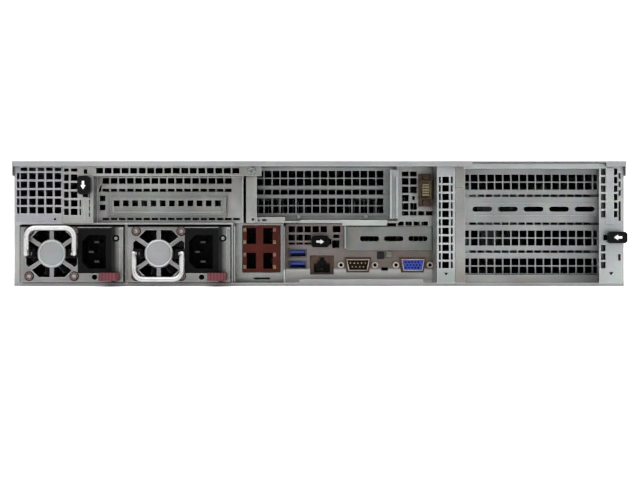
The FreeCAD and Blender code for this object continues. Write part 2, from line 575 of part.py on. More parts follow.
# ================================================================ rear middle
def middle_bracket():
    """Bracket of the middle slots: pillar, recess walls, perforated back, stiffening rib and sill."""
    top = TRAY_TOP - CLEAR
    y = REAR
    back_y = REAR + MID_DEEP
    foot = SILL_Z - WALL
    pillar = plate(PILLAR_X0, PILLAR_X1, foot, LEFT_STRIP_Z - CLEAR, y, PANEL,
                   [disc((PILLAR_X0 + PILLAR_X1) / 2 + 1.0, 47.4, 1.1)])
    left = block(PILLAR_X0, PILLAR_X0 + PANEL, y, back_y, foot, LEFT_STRIP_Z - CLEAR)
    holes = []
    for slot in range(MID_SLOTS):
        z = MID_SLOT_Z + slot * SLOT_PITCH
        holes.append(centred(1.2, z, 98.0, 2 * SLOT_HALF))
    gap_row = MID_SLOT_Z + SLOT_PITCH / 2
    holes += grid(MID_FIRST_COL, gap_row, MID_COLS, 1, COVER_PITCH, 1, COVER_HOLE, 3.9)
    back = plate(PILLAR_X0, MID_X1, foot, top, back_y, PANEL, holes)
    right = block(MID_X1 - PANEL, MID_X1, y + RIB_D, back_y, foot, top)
    sill = block(PILLAR_X0, MID_X1, y + 4.0, back_y, foot, SILL_Z)
    drop = fused(block(SILL_X0, SILL_STEP, y + 3.0, y + 4.0, SILL_Z - 1.4, SILL_Z + 0.6),
                 block(SILL_STEP, SILL_X1, y + 3.0, y + 4.0, SILL_Z - SILL_DROP, SILL_Z + 0.6),
                 block(SILL_X0, SILL_X1, y + 3.0, y + 4.0 + PANEL, SILL_Z - WALL, SILL_Z))
    corner = plate(PILLAR_X1, SILL_PLATE[0], foot, SILL_PLATE[1], y + 3.0, PANEL,
                   [centred(-39.2, 46.9, 3.2, 2.2), disc(-43.2, 46.9, 0.8)])
    corner = fused(corner, block(PILLAR_X1 - PANEL, PILLAR_X1, y, y + 4.0, foot, SILL_PLATE[1]))
    rib = block(RIB_X0, MID_X1, y + RIB_D - PANEL, y + RIB_D, RIB_Z0, RIB_Z1)
    lips = [block(RIB_X0, RIB_X0 + PANEL, y + 2.0, y + RIB_D, RIB_Z0, RIB_Z1),
            block(RIB_X1 - PANEL, RIB_X1, y + 2.0, y + RIB_D, RIB_Z0, RIB_Z1 - 5.0)]
    return fused(pillar, left, back, right, sill, drop, corner, rib, *lips)


def middle_blank(slot):
    """Perforated blanking plate of a middle slot."""
    z = MID_SLOT_Z + slot * SLOT_PITCH
    y = REAR + MID_DEEP - PANEL
    holes = grid(MID_FIRST_COL, z - COVER_PITCH / 2, MID_COLS, 2, COVER_PITCH, COVER_PITCH,
                 COVER_HOLE, COVER_HOLE)
    z1 = min(z + BLANK_H / 2 - 1.0, TRAY_TOP - CLEAR)
    x0, x1 = PILLAR_X0 + PANEL + CLEAR, MID_X1 - PANEL - CLEAR
    return plate(x0, x1, z - BLANK_H / 2 + 1.6, z1, y, PANEL, holes)


def port_window():
    """Perforated sheet right of the middle slots, which carries the upright port."""
    top = TRAY_TOP - CLEAR
    holes = []
    x, z = SIDE_PORT
    rows = 1 + int((top - 9.0 - 57.7) / 6.2)
    for i in range(rows):
        row_z = 57.7 + i * 6.2
        beside_post = abs(row_z - z + 5.7) < 6.2 / 2
        holes.append(centred(63.9, row_z, 4.8, 4.9))
        holes.append(centred(70.0, row_z, *((1.8, 3.0) if beside_post else (4.8, 4.9))))
    holes += grid(63.9, top - 5.6, 2, 1, PITCH, 1, 4.8, 3.6)
    holes += grid(63.9, 52.6, 4, 1, 5.9, 1, 4.8, 3.2)
    w, h = SIDE_PORT_BODY[:2]
    holes.append(centred(x, z, w - 1.6, h - 1.6))
    holes += grid(60.6, IO_TOP_RIGHT + 2.0, 4, 1, 5.9, 1, 4.8, 3.0)
    return plate(MID_X1, POST_X0, IO_TOP_RIGHT, top, REAR + MID_DEEP, PANEL, holes)


def rear_posts():
    """Perforated post between the middle and right slots, and the end post at the right wall."""
    top = TRAY_TOP - CLEAR
    y = REAR
    mid = (POST_X0 + POST_X1) / 2
    rows_z = POST_ROW_Z
    holes = grid(mid - 0.3, rows_z, 1, POST_ROWS, 1, PITCH, HOLE, HOLE)
    holes += grid(POST_X0 + 2.0, rows_z, 1, POST_ROWS, 1, PITCH, 1.5, HOLE)
    holes += grid(POST_X1 - 2.3, rows_z, 1, POST_ROWS, 1, PITCH, 1.5, HOLE)
    holes.append(loop([(mid, 0, 7.0), (mid + 1.5, 0, 9.6), (mid - 1.5, 0, 9.6)]))
    face = plate(POST_X0, POST_X1, TRAY_LIP, top, y, PANEL, holes)
    left = block(POST_X0, POST_X0 + PANEL, y, y + MID_DEEP + PANEL, TRAY_LIP, top)
    right = block(POST_X1 - PANEL, POST_X1, y, y + MID_DEEP + PANEL, TRAY_LIP, top)
    foot = block(POST_X0, POST_X1, y + WALL + CLEAR / 3, y + MID_DEEP + PANEL, WALL, TRAY_LIP + PANEL)
    post = fused(face, left, right, foot)
    holes = grid(END_COL_X, 14.9, 1, 3, 1, PITCH, 3.4, HOLE)
    holes += grid(END_COL_X, END_ROW_Z, 1, END_ROWS, 1, PITCH, 3.4, HOLE)
    holes += grid(211.4, END_ROW_Z, 1, END_ROWS, 1, PITCH, 2.6, HOLE)
    holes += grid(214.2, 20.4, 1, 1, 1, PITCH, 2.2, HOLE)
    holes += grid(214.2, 53.4, 1, 1, 1, PITCH, 1.6, 14.0)
    holes += grid(214.2, END_SHORT_Z, 1, END_SHORT_ROWS, 1, PITCH, 1.6, HOLE - 0.6)
    x, z = LATCH_RIGHT
    holes.append(centred(x - LATCH_TRAVEL / 2, z, LATCH_SHANK[0] + LATCH_TRAVEL + 2 * CLEAR,
                         LATCH_SHANK[1] + 2 * CLEAR))
    holes.append(loop([(208.2, 0, 7.4), (209.8, 0, 10.0), (206.6, 0, 10.0)]))
    face = plate(END_X0, IN_X, TRAY_LIP, top, y, PANEL, holes)
    rib = block(END_RIB[0], END_RIB[1], y - FRAME_OUT, y, END_RIB_Z[0], TRAY_TOP - END_RIB_Z[1])
    wall = block(IN_X - PANEL, IN_X, y, y + 24, TRAY_LIP, top)
    foot = block(RIGHT_X1 + CLEAR, IN_X, y + WALL + CLEAR / 3, y + 24, WALL, TRAY_LIP + PANEL)
    sill = block(RIGHT_X1 + CLEAR, IN_X, y, y + WALL + CLEAR / 3 + PANEL, TRAY_LIP, TRAY_LIP + PANEL)
    end = fused(face, rib, wall, foot, sill)
    return group([post, end])


# ================================================================ rear right
def right_bracket():
    """Bracket of the four right slots: side flanges, recess and perforated back."""
    top = TRAY_TOP - CLEAR
    y = REAR
    back_y = y + RIGHT_DEEP
    foot = TRAY_LIP
    holes = []
    for slot in range(RIGHT_SLOTS):
        z = RIGHT_SLOT_Z + slot * SLOT_PITCH
        holes.append(centred((RIGHT_X0 + RIGHT_X1) / 2, z, RIGHT_X1 - RIGHT_X0 - 4.0, 2 * SLOT_HALF))
    for gap in range(RIGHT_SLOTS - 1):
        z = RIGHT_SLOT_Z + (gap + 0.5) * SLOT_PITCH
        holes += grid(RIGHT_FIRST_COL - 1.0, z + 0.35, RIGHT_COLS, 1, COVER_PITCH, 1, 4.8, 2.3)
    back = plate(RIGHT_X0, RIGHT_X1, foot, top, back_y, PANEL, holes)
    strip = plate(POST_X1 + CLEAR, RIGHT_X0 + PANEL, foot, top, y, PANEL)
    left = fused(block(RIGHT_X0, RIGHT_X0 + PANEL, y, back_y, foot, top),
                 block(RIGHT_X0, RIGHT_X0 + PANEL, y, y + RIGHT_WALL_D, MAIN_TOP + CLEAR, top))
    right = block(RIGHT_X1 - PANEL, RIGHT_X1, y + 4.0, back_y, foot, top)
    slit = block(POST_X1, RIGHT_X0 - 0.4, y - 1, y + PANEL + 1, 70.2, 70.7)
    end = END_X0 - CLEAR
    lip_y = y + WALL + CLEAR / 3
    head = fused(block(RIGHT_X0, RIGHT_X1, y + 4.0, back_y, top - PANEL, top),
                 block(RIGHT_X0, end, y, y + 4.0, top - PANEL, top),
                 block(RIGHT_X0, end, y - PANEL, y, CHASSIS_H - PANEL - HEAD_H, top),
                 block(RIGHT_X0, end, y - PANEL, y + PANEL, top - PANEL, top))
    toe = fused(block(RIGHT_X0, RIGHT_X1, lip_y + PANEL, back_y, WALL, TRAY_LIP + PANEL),
                block(RIGHT_X0, end, lip_y, lip_y + PANEL, WALL, TOE_H))
    return fused(back, strip.cut(slit), left, right, head, toe)


def right_blank(slot):
    """Blanking plate of a right slot: perforated, or with long slots in the third."""
    z = RIGHT_SLOT_Z + slot * SLOT_PITCH
    y = REAR + RIGHT_DEEP - PANEL
    x0, x1 = RIGHT_X0 + PANEL + CLEAR, RIGHT_X1 - PANEL - CLEAR
    z0, z1 = z - BLANK_H / 2, min(z + BLANK_H / 2, TRAY_TOP - CLEAR - PANEL - CLEAR)
    if slot != LONG_BLANK:
        low = z - COVER_PITCH / 2 - 0.2
        holes = grid(RIGHT_FIRST_COL, low, RIGHT_COLS, 2, COVER_PITCH, COVER_PITCH, COVER_HOLE, COVER_HOLE)
        for half_x, half_w in RIGHT_HALF_COLS:
            holes += grid(half_x, low, 1, 2, COVER_PITCH, COVER_PITCH, half_w, COVER_HOLE)
        return plate(x0, x1, z0, z1, y, PANEL, holes)
    holes = [obround(RIGHT_LONG_X + i * RIGHT_LONG_PITCH, z + 0.5, *OBROUND) for i in range(5)]
    sheet = plate(x0, x1, z0, z1, y, PANEL, holes)
    ribs = [block(x0 + 8, x1 - 2, y - 0.5, y, z + s * 4.6, z + s * 4.6 + 0.6) for s in (-1, 1)]
    return fused(sheet, *ribs)


def slot_blanks():
    """All blanking plates, each a solid of its own."""
    x0, x1, z0, z1 = LOW_BLANK
    holes = [obround(37.4 + i * 17.9, 33.8, *OBROUND) for i in range(3)]
    low = plate(x0, x1, z0, z1, REAR + MID_DEEP - PANEL, PANEL, holes)
    return group([left_blank(), low] + [middle_blank(i) for i in range(MID_SLOTS)]
                 + [right_blank(i) for i in range(RIGHT_SLOTS)])


# ================================================================ sockets
def io_panel():
    """Recessed socket panel with its openings and side flange."""
    y = REAR + MID_DEEP
    holes = grid(-20.3, 40.8, 5, 1, 5.95, 1, 4.8, 4.6) + grid(-20.3, 34.6, 3, 1, 5.95, 1, 4.8, 4.4)
    holes += grid(-20.3, 30.2, 3, 1, 5.95, 1, 4.8, 1.6)
    holes += [centred(13.0, 40.9, 5.6, 4.6), centred(12.8, 35.6, 4.6, 2.6)]
    holes += [centred(12.4, 29.8, 5.4, 5.6)]
    x, z = LATCH_MIDDLE
    holes.append(centred(x + LATCH_TRAVEL / 2, z, LATCH_SHANK[0] + LATCH_TRAVEL + 2 * CLEAR,
                         LATCH_SHANK[1] + 2 * CLEAR))
    holes += [centred(USB_X, uz, USB[0] + CLEAR, USB[1] + CLEAR) for uz in USB_Z]
    holes.append(centred(LAN_X, LAN_Z, LAN[0] + CLEAR, LAN[1] + CLEAR))
    for dx in (SERIAL_X, VGA_X):
        holes.append(dsub_outline(dx, DSUB_Z, DSUB_SHELL[0] + 2 * CLEAR, DSUB_SHELL[1] + 2 * CLEAR))
        holes += [disc(dx + s * DSUB_SCREWS / 2, DSUB_Z, JACK_R - 0.6) for s in (-1, 1)]
    holes.append(centred(ID_X, ID_Z, ID_SIZE + 2 * CLEAR, ID_SIZE + 2 * CLEAR))
    holes += [centred(*ID_LAMP, ID_LAMP_SIZE, ID_LAMP_SIZE), centred(48.7, 11.3, 5.0, 2.4)]
    holes.append(window(LOW_BLANK[0] + 3, LOW_BLANK[1] - 3, LOW_BLANK[2] + 3, LOW_BLANK[3] - 3))
    low = [h for h in holes if h.BoundBox.XMin > IO_FIN_X]
    high = [h for h in holes if h.BoundBox.XMax < IO_FIN_X]
    sheet = fused(plate(IO_X0, IO_FIN_X, WALL, IO_TOP, y, PANEL, high),
                  plate(IO_FIN_X, IO_X1, WALL, IO_TOP_RIGHT, y, PANEL, low))
    flange = block(IO_X0 - PANEL, IO_X0, REAR + 8, y + PANEL, WALL, IO_TOP - 2.4)
    lip = block(IO_X0 - PANEL, IO_X1, y - 6, y, WALL, WALL + PANEL)
    fin = block(IO_FIN_X, IO_FIN_X + PANEL, y - 8, y, 26.6, IO_TOP_RIGHT)
    return fused(sheet, flange, lip, fin)


def dsub_outline(x, z, width, height):
    """The D outline of a D-sub shell, wide side up."""
    w, h, s = width / 2, height / 2, DSUB_SLANT
    return loop([(x - w, 0, z + h), (x + w, 0, z + h), (x + w - s, 0, z - h), (x - w + s, 0, z - h)])


def solid_of(outline, y0, y1):
    """A prism along Y over one of the outlines above."""
    face = Part.Face(outline)
    face.translate(V(0, y0, 0))
    return face.extrude(V(0, y1 - y0, 0))


def usb_shell(x, z, y0, facing):
    """A port: steel shell open towards -Y or +Y, with its tongue."""
    w, h, d = USB
    shell = solid_of(centred(x, z, w, h), y0, y0 + d)
    a, b = (y0 - 1, y0 + d - 2) if facing < 0 else (y0 + 2, y0 + d + 1)
    shell = shell.cut(solid_of(centred(x, z, w - 0.8, h - 0.8), a, b))
    a, b = (y0 + 0.8, y0 + d - 1) if facing < 0 else (y0 + 1, y0 + d - 0.8)
    return fused(shell, solid_of(centred(x, z + 0.9, w - 2.6, 1.8), a, b))


def usb_ports():
    """Two stacked ports at the rear and two single ones in the front strip."""
    y0 = REAR + MID_DEEP - 1.0
    solids = [usb_shell(USB_X, z, y0, -1) for z in USB_Z]
    base = block(USB_X - 6, USB_X + 6, y0 + 3, y0 + USB[2], MAIN_TOP, USB_Z[0] - USB[1] / 2)
    spacer = block(USB_X - 6, USB_X + 6, y0 + 3, y0 + USB[2], USB_Z[0] + USB[1] / 2, USB_Z[1] - USB[1] / 2)
    front = [usb_shell(x, FRONT_USB_Z, FRONT - EAR_THICK - USB[2], 1) for x in FRONT_USB_X]
    return [fused(*solids, base, spacer), *front]


def lan_port():
    """Management network socket: shielded block with a stepped plug opening."""
    w, h, d = LAN
    y0 = REAR + MID_DEEP - 0.8
    body = block(LAN_X - w / 2, LAN_X + w / 2, y0, y0 + d, LAN_Z - h / 2, LAN_Z + h / 2)
    foot = block(LAN_X - w / 2 + 1, LAN_X + w / 2 - 1, y0 + 3, y0 + d, MAIN_TOP, LAN_Z)
    z0 = LAN_Z - h / 2
    cavity = prism_y([(LAN_X - 5.9, z0 + 1.2), (LAN_X + 5.9, z0 + 1.2), (LAN_X + 5.9, z0 + 8.0),
                      (LAN_X + 3.2, z0 + 8.0), (LAN_X + 3.2, z0 + 10.0), (LAN_X + 1.7, z0 + 10.0),
                      (LAN_X + 1.7, z0 + 12.4), (LAN_X - 1.7, z0 + 12.4), (LAN_X - 1.7, z0 + 10.0),
                      (LAN_X - 3.2, z0 + 10.0), (LAN_X - 3.2, z0 + 8.0), (LAN_X - 5.9, z0 + 8.0)],
                     y0 - 1, y0 + d - 3)
    return fused(body, foot).cut(cavity)


def dsub(x, sunk):
    """A nine-way D-sub: flange behind the panel, shell through it and two jack posts."""
    y = REAR + MID_DEEP
    w, h, out = DSUB_SHELL
    back = block(x - DSUB_FLANGE[0] / 2, x + DSUB_FLANGE[0] / 2, y + PANEL, y + PANEL + 10,
                 max(DSUB_Z - DSUB_FLANGE[1] / 2, MAIN_TOP), DSUB_Z + DSUB_FLANGE[1] / 2)
    shell = solid_of(dsub_outline(x, DSUB_Z, w, h), y - out + 1, y + PANEL)
    bore = solid_of(dsub_outline(x, DSUB_Z, w - 1.0, h - 1.0), y - out, y - sunk)
    posts = []
    for s in (-1, 1):
        px = x + s * DSUB_SCREWS / 2
        posts.append(rod_y(px, DSUB_Z, JACK_R, y - JACK_L, y))
        posts.append(rod_y(px, DSUB_Z, JACK_R - 0.9, y - 1, y + PANEL + 1))
    body = fused(back, shell, *posts).cut(bore)
    for s in (-1, 1):
        body = body.cut(rod_y(x + s * DSUB_SCREWS / 2, DSUB_Z, JACK_BORE_R, y - JACK_L - 1, y - 1))
    return body


def contacts(x, rows):
    """The contact pins of a D-sub: rows of height and count."""
    y = REAR + MID_DEEP
    pins = []
    for z, count in rows:
        for i in range(count):
            px = x + (i - (count - 1) / 2) * 2.74
            pins.append(rod_y(px, z, 0.5, y - 4.0, y + PANEL))
    return pins


def dsub_ports():
    """Serial port with pins, display port with its insert."""
    rows = [(DSUB_Z + 1.4, 5), (DSUB_Z - 1.4, 4)]
    serial = fused(dsub(SERIAL_X, -0.5 * PANEL), *contacts(SERIAL_X, rows))
    return group([serial, dsub(VGA_X, 3.2), side_port()])


def side_port():
    """Small upright port beside the post, with two jack posts."""
    x, z = SIDE_PORT
    w, h, d = SIDE_PORT_BODY
    y = REAR + MID_DEEP
    body = solid_of(centred(x, z, w, h), y - d, y)
    body = body.cut(solid_of(centred(x, z, w - 2.0, h - 2.0), y - d - 1, y - 2))
    core = solid_of(centred(x, z, w - 4.4, h - 4.0), y - d + 1.4, y)
    flange = solid_of(centred(x, z, w + 0.4, h + 10.0), y - 1.4, y)
    posts = [rod_y(x, z + s * (h / 2 + 2.6), 2.2, y - d + 1, y) for s in (-1, 1)]
    return fused(body, core, flange, *posts)


def quad_module():
    """Network module: a sheet with an opening and, in it, a block of four sockets on end."""
    y = REAR + QUAD_PLATE_D
    x0, x1 = CAGE_X1 + CLEAR, IO_X0 - PANEL - CLEAR
    hole = window(QUAD_X0 - CLEAR, QUAD_X1 + CLEAR, QUAD_Z0 - CLEAR, QUAD_Z1 + CLEAR)
    slit = centred(-41.8, 4.6, 12.0, 1.4)
    sheet = plate(x0, x1, WALL, SHELF_TOP, y, PANEL, [hole, slit])
    side = block(x0, x0 + PANEL, REAR + 3, y, 2.6, SHELF_Z - 1)
    frame = fused(sheet, side)
    y0 = REAR + QUAD_DEEP - 3
    body = block(QUAD_X0, QUAD_X1, y0, y0 + QUAD_LONG, QUAD_Z0, QUAD_Z1)
    pw, ph, pd = QUAD_PORT
    for x in QUAD_PORT_X:
        for z in QUAD_PORT_Z:
            body = body.cut(block(x - pw / 2, x + pw / 2, y0 - 1, y0 + pd, z - ph / 2, z + ph / 2))
    card = block(QUAD_X1 + CLEAR, QUAD_X1 + CLEAR + 1.6, y + PANEL, y + 90, MAIN_TOP + 2, QUAD_Z1)
    rear = block(QUAD_X0, QUAD_X1 + CLEAR, y0 + QUAD_LONG - 4, y0 + QUAD_LONG, QUAD_Z0, QUAD_Z1)
    return group([frame, fused(body, rear), card])


def lamps():
    """Lamp windows: beside the identification button, at the network sockets and in the front strip."""
    y = REAR + MID_DEEP
    x, z = ID_LAMP
    h = ID_LAMP_SIZE / 2 - CLEAR / 2
    solids = [block(x - h, x + h, y - 0.6, y + PANEL + 2, z - h, z + h)]
    y0 = REAR + QUAD_DEEP - 3
    w, h = QUAD_LAMP
    for side, px in zip((-1, 1), QUAD_PORT_X):
        for pz in QUAD_PORT_Z:
            for end in (-1, 1):
                lx = px + side * (QUAD_PORT[0] / 2 + CLEAR + w / 2)
                lz = pz + end * (QUAD_PORT[1] - h) / 2
                solids.append(block(lx - w / 2, lx + w / 2, y0 - 0.3, y0, lz - h / 2, lz + h / 2))
    for i in range(FRONT_LAMPS):
        z = CAGE_TOP + FRONT_LAMP_Z + i * FRONT_LAMP_PITCH
        solids.append(rod_y(FRONT_LAMP_X, z, 1.0, FRONT - EAR_THICK - STRIP_T, FRONT - EAR_THICK + 0.2))
    return group(solids)


def id_button():
    """Square identification button in the socket panel."""
    y = REAR + MID_DEEP
    h = ID_SIZE / 2
    cap = block(ID_X - h, ID_X + h, y - ID_TRAVEL - ID_OUT, y + 3.0, ID_Z - h, ID_Z + h)
    skirt = block(ID_X - h, ID_X + h + 1.2, y + PANEL + CLEAR / 3, y + 3.0, ID_Z - h, ID_Z + h + 1.2)
    return fused(cap, skirt)


# ================================================================ latches
def latch(x, z, y, along):
    """Sliding latch: finger pad, shank through its slot and a flange behind the sheet."""
    length, width, thick = LATCH_PAD
    if along == "x":
        size = [(length, width), LATCH_SHANK, (LATCH_SHANK[0] + LATCH_LAP, LATCH_SHANK[1] + LATCH_LAP)]
    else:
        size = [(width, length), LATCH_SHANK[::-1], (LATCH_SHANK[1] + LATCH_LAP, LATCH_SHANK[0] + LATCH_LAP)]
    pad = solid_of(centred(x, z, *size[0]), y - LATCH_STAND - thick, y - LATCH_STAND)
    pad = pad.makeChamfer(1.4, [e for e in pad.Edges if abs(e.BoundBox.YLength - thick) < 0.01])
    shank = solid_of(centred(x, z, *size[1]), y - LATCH_STAND, y + PANEL + CLEAR / 2)
    flange = solid_of(centred(x, z, *size[2]), y + PANEL + CLEAR / 2, y + PANEL + CLEAR / 2 + LATCH_FLANGE)
    return fused(pad, shank, flange)


# ================================================================ power supply
def psu_case(left):
    """Case with a spoked fan grille, the inlet's housing and the fan's pin; the inlet is its own solid."""
    y0, y1 = REAR - PSU_FACE, REAR + PSU_D
    skin = PSU_SKIN
    fan_x = left + FAN_INSET
    inlet = inlet_box(left)
    slot_x0 = left + RELEASE_X + (RELEASE_W - SHANK[0]) / 2 - RELEASE_TRAVEL - CLEAR
    slot_z = PSU_Z0 + RELEASE_Z + 1.0
    holes = fan_openings(fan_x)
    holes += [disc(x, z, FAN_SCREW_R + CLEAR / 3) for x, z in fan_screw_places(fan_x)]
    holes.append(window(inlet[0], inlet[1], inlet[2], inlet[3]))
    slot_x1 = slot_x0 + SHANK[0] + RELEASE_TRAVEL + 2 * CLEAR
    holes.append(window(slot_x0, slot_x1, slot_z, slot_z + SHANK[1] + CLEAR))
    holes.append(disc(left + POKE[0], PSU_Z0 + POKE[1], POKE[2]))
    holes.append(disc(left + LAMP[0], PSU_Z0 + LAMP[1], LAMP[2]))
    face = plate(left, left + PSU_W, PSU_Z0, PSU_TOP, y0, PSU_FACE, holes)
    box = block(left, left + PSU_W, REAR, y1, PSU_Z0, PSU_TOP)
    box = box.cut(block(left + skin, left + PSU_W - skin, REAR - 1, y1 - skin, PSU_Z0 + skin, PSU_TOP - skin))
    back = block(left + 12, left + PSU_W - 12, y1, y1 + 6, PSU_Z0 + 6, PSU_Z0 + 12)
    pin = rod_y(fan_x, FAN_Z, PSU_FAN_PIN_R, REAR - PSU_FACE / 2, REAR + PSU_ROTOR_STAND + PSU_ROTOR_T)
    ears = []
    for s in (-1, 1):
        ex = fan_x + s * (HANDLE_SPAN / 2 - HANDLE_R - EAR_T / 2 - 0.4)
        tab = block(ex - EAR_T / 2, ex + EAR_T / 2, y0 - HANDLE_OUT - HANDLE_PIN_R - 1.2, y0,
                    FAN_Z - EAR_HALF, FAN_Z + EAR_HALF)
        ears.append(tab)
    fold_x = left + PSU_W - SIDE_FOLD[0]
    fold = block(fold_x, left + PSU_W, y0 - SIDE_FOLD[1], y0, PSU_Z0 + 1.5, PSU_TOP - 1.5)
    case = fused(face, box, back, pin, fold, *ears)
    hole = Part.makeCylinder(HANDLE_PIN_R + PIN_GAP, HANDLE_SPAN + 4,
                             V(fan_x - HANDLE_SPAN / 2 - 2, y0 - HANDLE_OUT, FAN_Z), V(1, 0, 0))
    lamp = rod_y(left + LAMP[0], PSU_Z0 + LAMP[1], LAMP[2] - LAMP_RIM, y0 + 0.4, REAR + 4)
    lamp = fused(lamp, rod_y(left + LAMP[0], PSU_Z0 + LAMP[1], LAMP[2] + 0.6, REAR, REAR + 4))
    return group([case.cut(hole), psu_inlet(left), lamp, *psu_screws(fan_x)])


def fan_screw_places(fan_x):
    """Centres of a supply's four fan screws."""
    half = FAN_BOLTS / 2
    return [(fan_x + i * half, FAN_Z + j * half) for i in (-1, 1) for j in (-1, 1)]


def psu_screws(fan_x):
    """The four fan screws in the face plate."""
    y0 = REAR - PSU_FACE
    long, wide, deep = CROSS[0] / 2, CROSS[1] / 2, CROSS[2]
    made = []
    for x, z in fan_screw_places(fan_x):
        head = rod_y(x, z, SCREW_R, y0 - SCREW_HEAD, y0)
        cross = fused(block(x - long, x + long, y0 - SCREW_HEAD, y0 - SCREW_HEAD + deep, z - wide, z + wide),
                      block(x - wide, x + wide, y0 - SCREW_HEAD, y0 - SCREW_HEAD + deep, z - long, z + long))
        made.append(fused(head, rod_y(x, z, FAN_SCREW_R, y0 - CLEAR / 3, REAR + 2)).cut(cross))
    return made


def fan_openings(fan_x):
    """Outlines of the openings between the hub, the spokes and the cut-cornered frame."""
    w, h, c = GRILLE_W / 2, GRILLE_H / 2, GRILLE_CORNER
    frame = [(-w + c, h), (w - c, h), (w, h - c), (w, -h + c),
             (w - c, -h), (-w + c, -h), (-w, -h + c), (-w, h - c)]
    open_face = Part.Face(loop([(fan_x + x, 0, FAN_Z + z) for x, z in frame]))
    cutters = [Part.Face(disc(fan_x, FAN_Z, GRILLE_HUB_R))]
    for side in (-1, 1):
        cutters.append(Part.Face(centred(fan_x + side * (w - EAR_TAB[0] / 2), FAN_Z, *EAR_TAB)))
    for angle in SPOKE_ANGLES:
        bar = Part.Face(window(0, 2 * w, -SPOKE_W / 2, SPOKE_W / 2))
        bar.rotate(V(0, 0, 0), V(0, 1, 0), -angle)
        bar.translate(V(fan_x, 0, FAN_Z))
        cutters.append(bar)
    return [face.OuterWire for face in open_face.cut(cutters).Faces]


def inlet_box(left):
    """Sides of the inlet housing: x0, x1, z0, z1."""
    x0 = left + INLET_X
    z0 = PSU_Z0 + INLET_Z
    return x0, x0 + INLET_W, z0, z0 + INLET_H


def psu_inlet(left):
    """Mains inlet: housing with a six-sided socket and three contact blades."""
    x0, x1, z0, z1 = inlet_box(left)
    y0 = REAR - PSU_FACE
    housing = block(x0, x1, y0, REAR + SOCKET_DEEP + SOCKET_FLOOR, z0, z1)
    sx0 = x0 + SOCKET_X
    sx1 = sx0 + SOCKET_W
    zc = (z0 + z1) / 2 - 1.0
    h, c = SOCKET_H / 2, SOCKET_CUT
    socket = prism_y([(sx0 + c, zc + h), (sx1, zc + h), (sx1, zc - h), (sx0 + c, zc - h),
                      (sx0, zc - h + c), (sx0, zc + h - c)], y0 - 1, REAR + SOCKET_DEEP)
    housing = housing.cut(socket)
    bw, bh, bl = BLADE
    middle = (sx0 + sx1) / 2 + 1.0
    spots = [(middle - EARTH_OFFSET, zc), (middle, zc + LINE_PITCH / 2), (middle, zc - LINE_PITCH / 2)]
    y1 = REAR + SOCKET_DEEP
    blades = [block(x - bw / 2, x + bw / 2, y1 - bl, y1, z - bh / 2, z + bh / 2) for x, z in spots]
    return fused(housing, *blades)


def psu_rotor(left):
    """Fan rotor on the case's pin."""
    bore = PSU_FAN_PIN_R + PIN_GAP
    y0 = REAR + PSU_ROTOR_STAND
    return rotor(left + FAN_INSET, FAN_Z, y0, PSU_ROTOR_T, PSU_ROTOR_HUB, PSU_ROTOR_R, bore)


def rotor(x, z, y0, depth, hub_r, tip_r, bore_r):
    """Axial rotor along Y: a hub with a bore and slanted blades."""
    hub = rod_y(x, z, hub_r, y0, y0 + depth)
    inner = hub_r - BLADE_ROOT
    ya, yb = y0 + depth * 0.1, y0 + depth * 0.9
    za, zb = z - hub_r * BLADE_SLANT, z + hub_r * BLADE_SLANT
    blades = []
    for i in range(FAN_BLADES):
        corners = [(x + inner, ya, za), (x + tip_r, ya, za), (x + tip_r, yb, zb), (x + inner, yb, zb)]
        face = Part.Face(loop(corners))
        blade = face.extrude(V(0, -0.6, 1.0).normalize() * (hub_r * 0.1))
        blade.rotate(V(x, 0, z), V(0, 1, 0), i * 360.0 / FAN_BLADES)
        blades.append(blade)
    shape = fused(hub, *blades)
    shape = shape.common(rod_y(x, z, tip_r, y0, y0 + depth))
    return shape.cut(rod_y(x, z, bore_r, y0 - 1, y0 + depth + 1)).removeSplitter()


def psu_handle(left, up):
    """Bail handle: a bent round bar with two pins, folded up or down."""
    x, z = left + FAN_INSET, FAN_Z
    y = REAR - PSU_FACE - HANDLE_OUT
    s = 1 if up else -1
    half, arm, bend = HANDLE_SPAN / 2, HANDLE_ARM * s, HANDLE_BEND
    b = bend * s
    q = bend * (1 - math.sqrt(0.5))
    start, corner1, corner2 = V(x - half, y, z), V(x - half, y, z + arm - b), V(x - half + bend, y, z + arm)
    corner3, corner4, end = V(x + half - bend, y, z + arm), V(x + half, y, z + arm - b), V(x + half, y, z)
    path = Part.Wire([
        Part.makeLine(start, corner1),
        Part.Arc(corner1, V(x - half + q, y, z + arm - q * s), corner2).toShape(),
        Part.makeLine(corner2, corner3),
        Part.Arc(corner3, V(x + half - q, y, z + arm - q * s), corner4).toShape(),
        Part.makeLine(corner4, end)])
    ring = Part.Wire(Part.makeCircle(HANDLE_R, start, V(0, 0, 1)))
    bar = path.makePipeShell([ring], True, False)
    parts = [bar]
    for side in (-1, 1):
        end_x = x + side * half
        parts.append(Part.makeSphere(HANDLE_R, V(end_x, y, z)))
        inward = end_x - side * (HANDLE_R + EAR_T + 0.4)
        pin_x0, pin_x1 = min(end_x, inward), max(end_x, inward)
        parts.append(Part.makeCylinder(HANDLE_PIN_R, pin_x1 - pin_x0, V(pin_x0, y, z), V(1, 0, 0)))
    return fused(*parts)


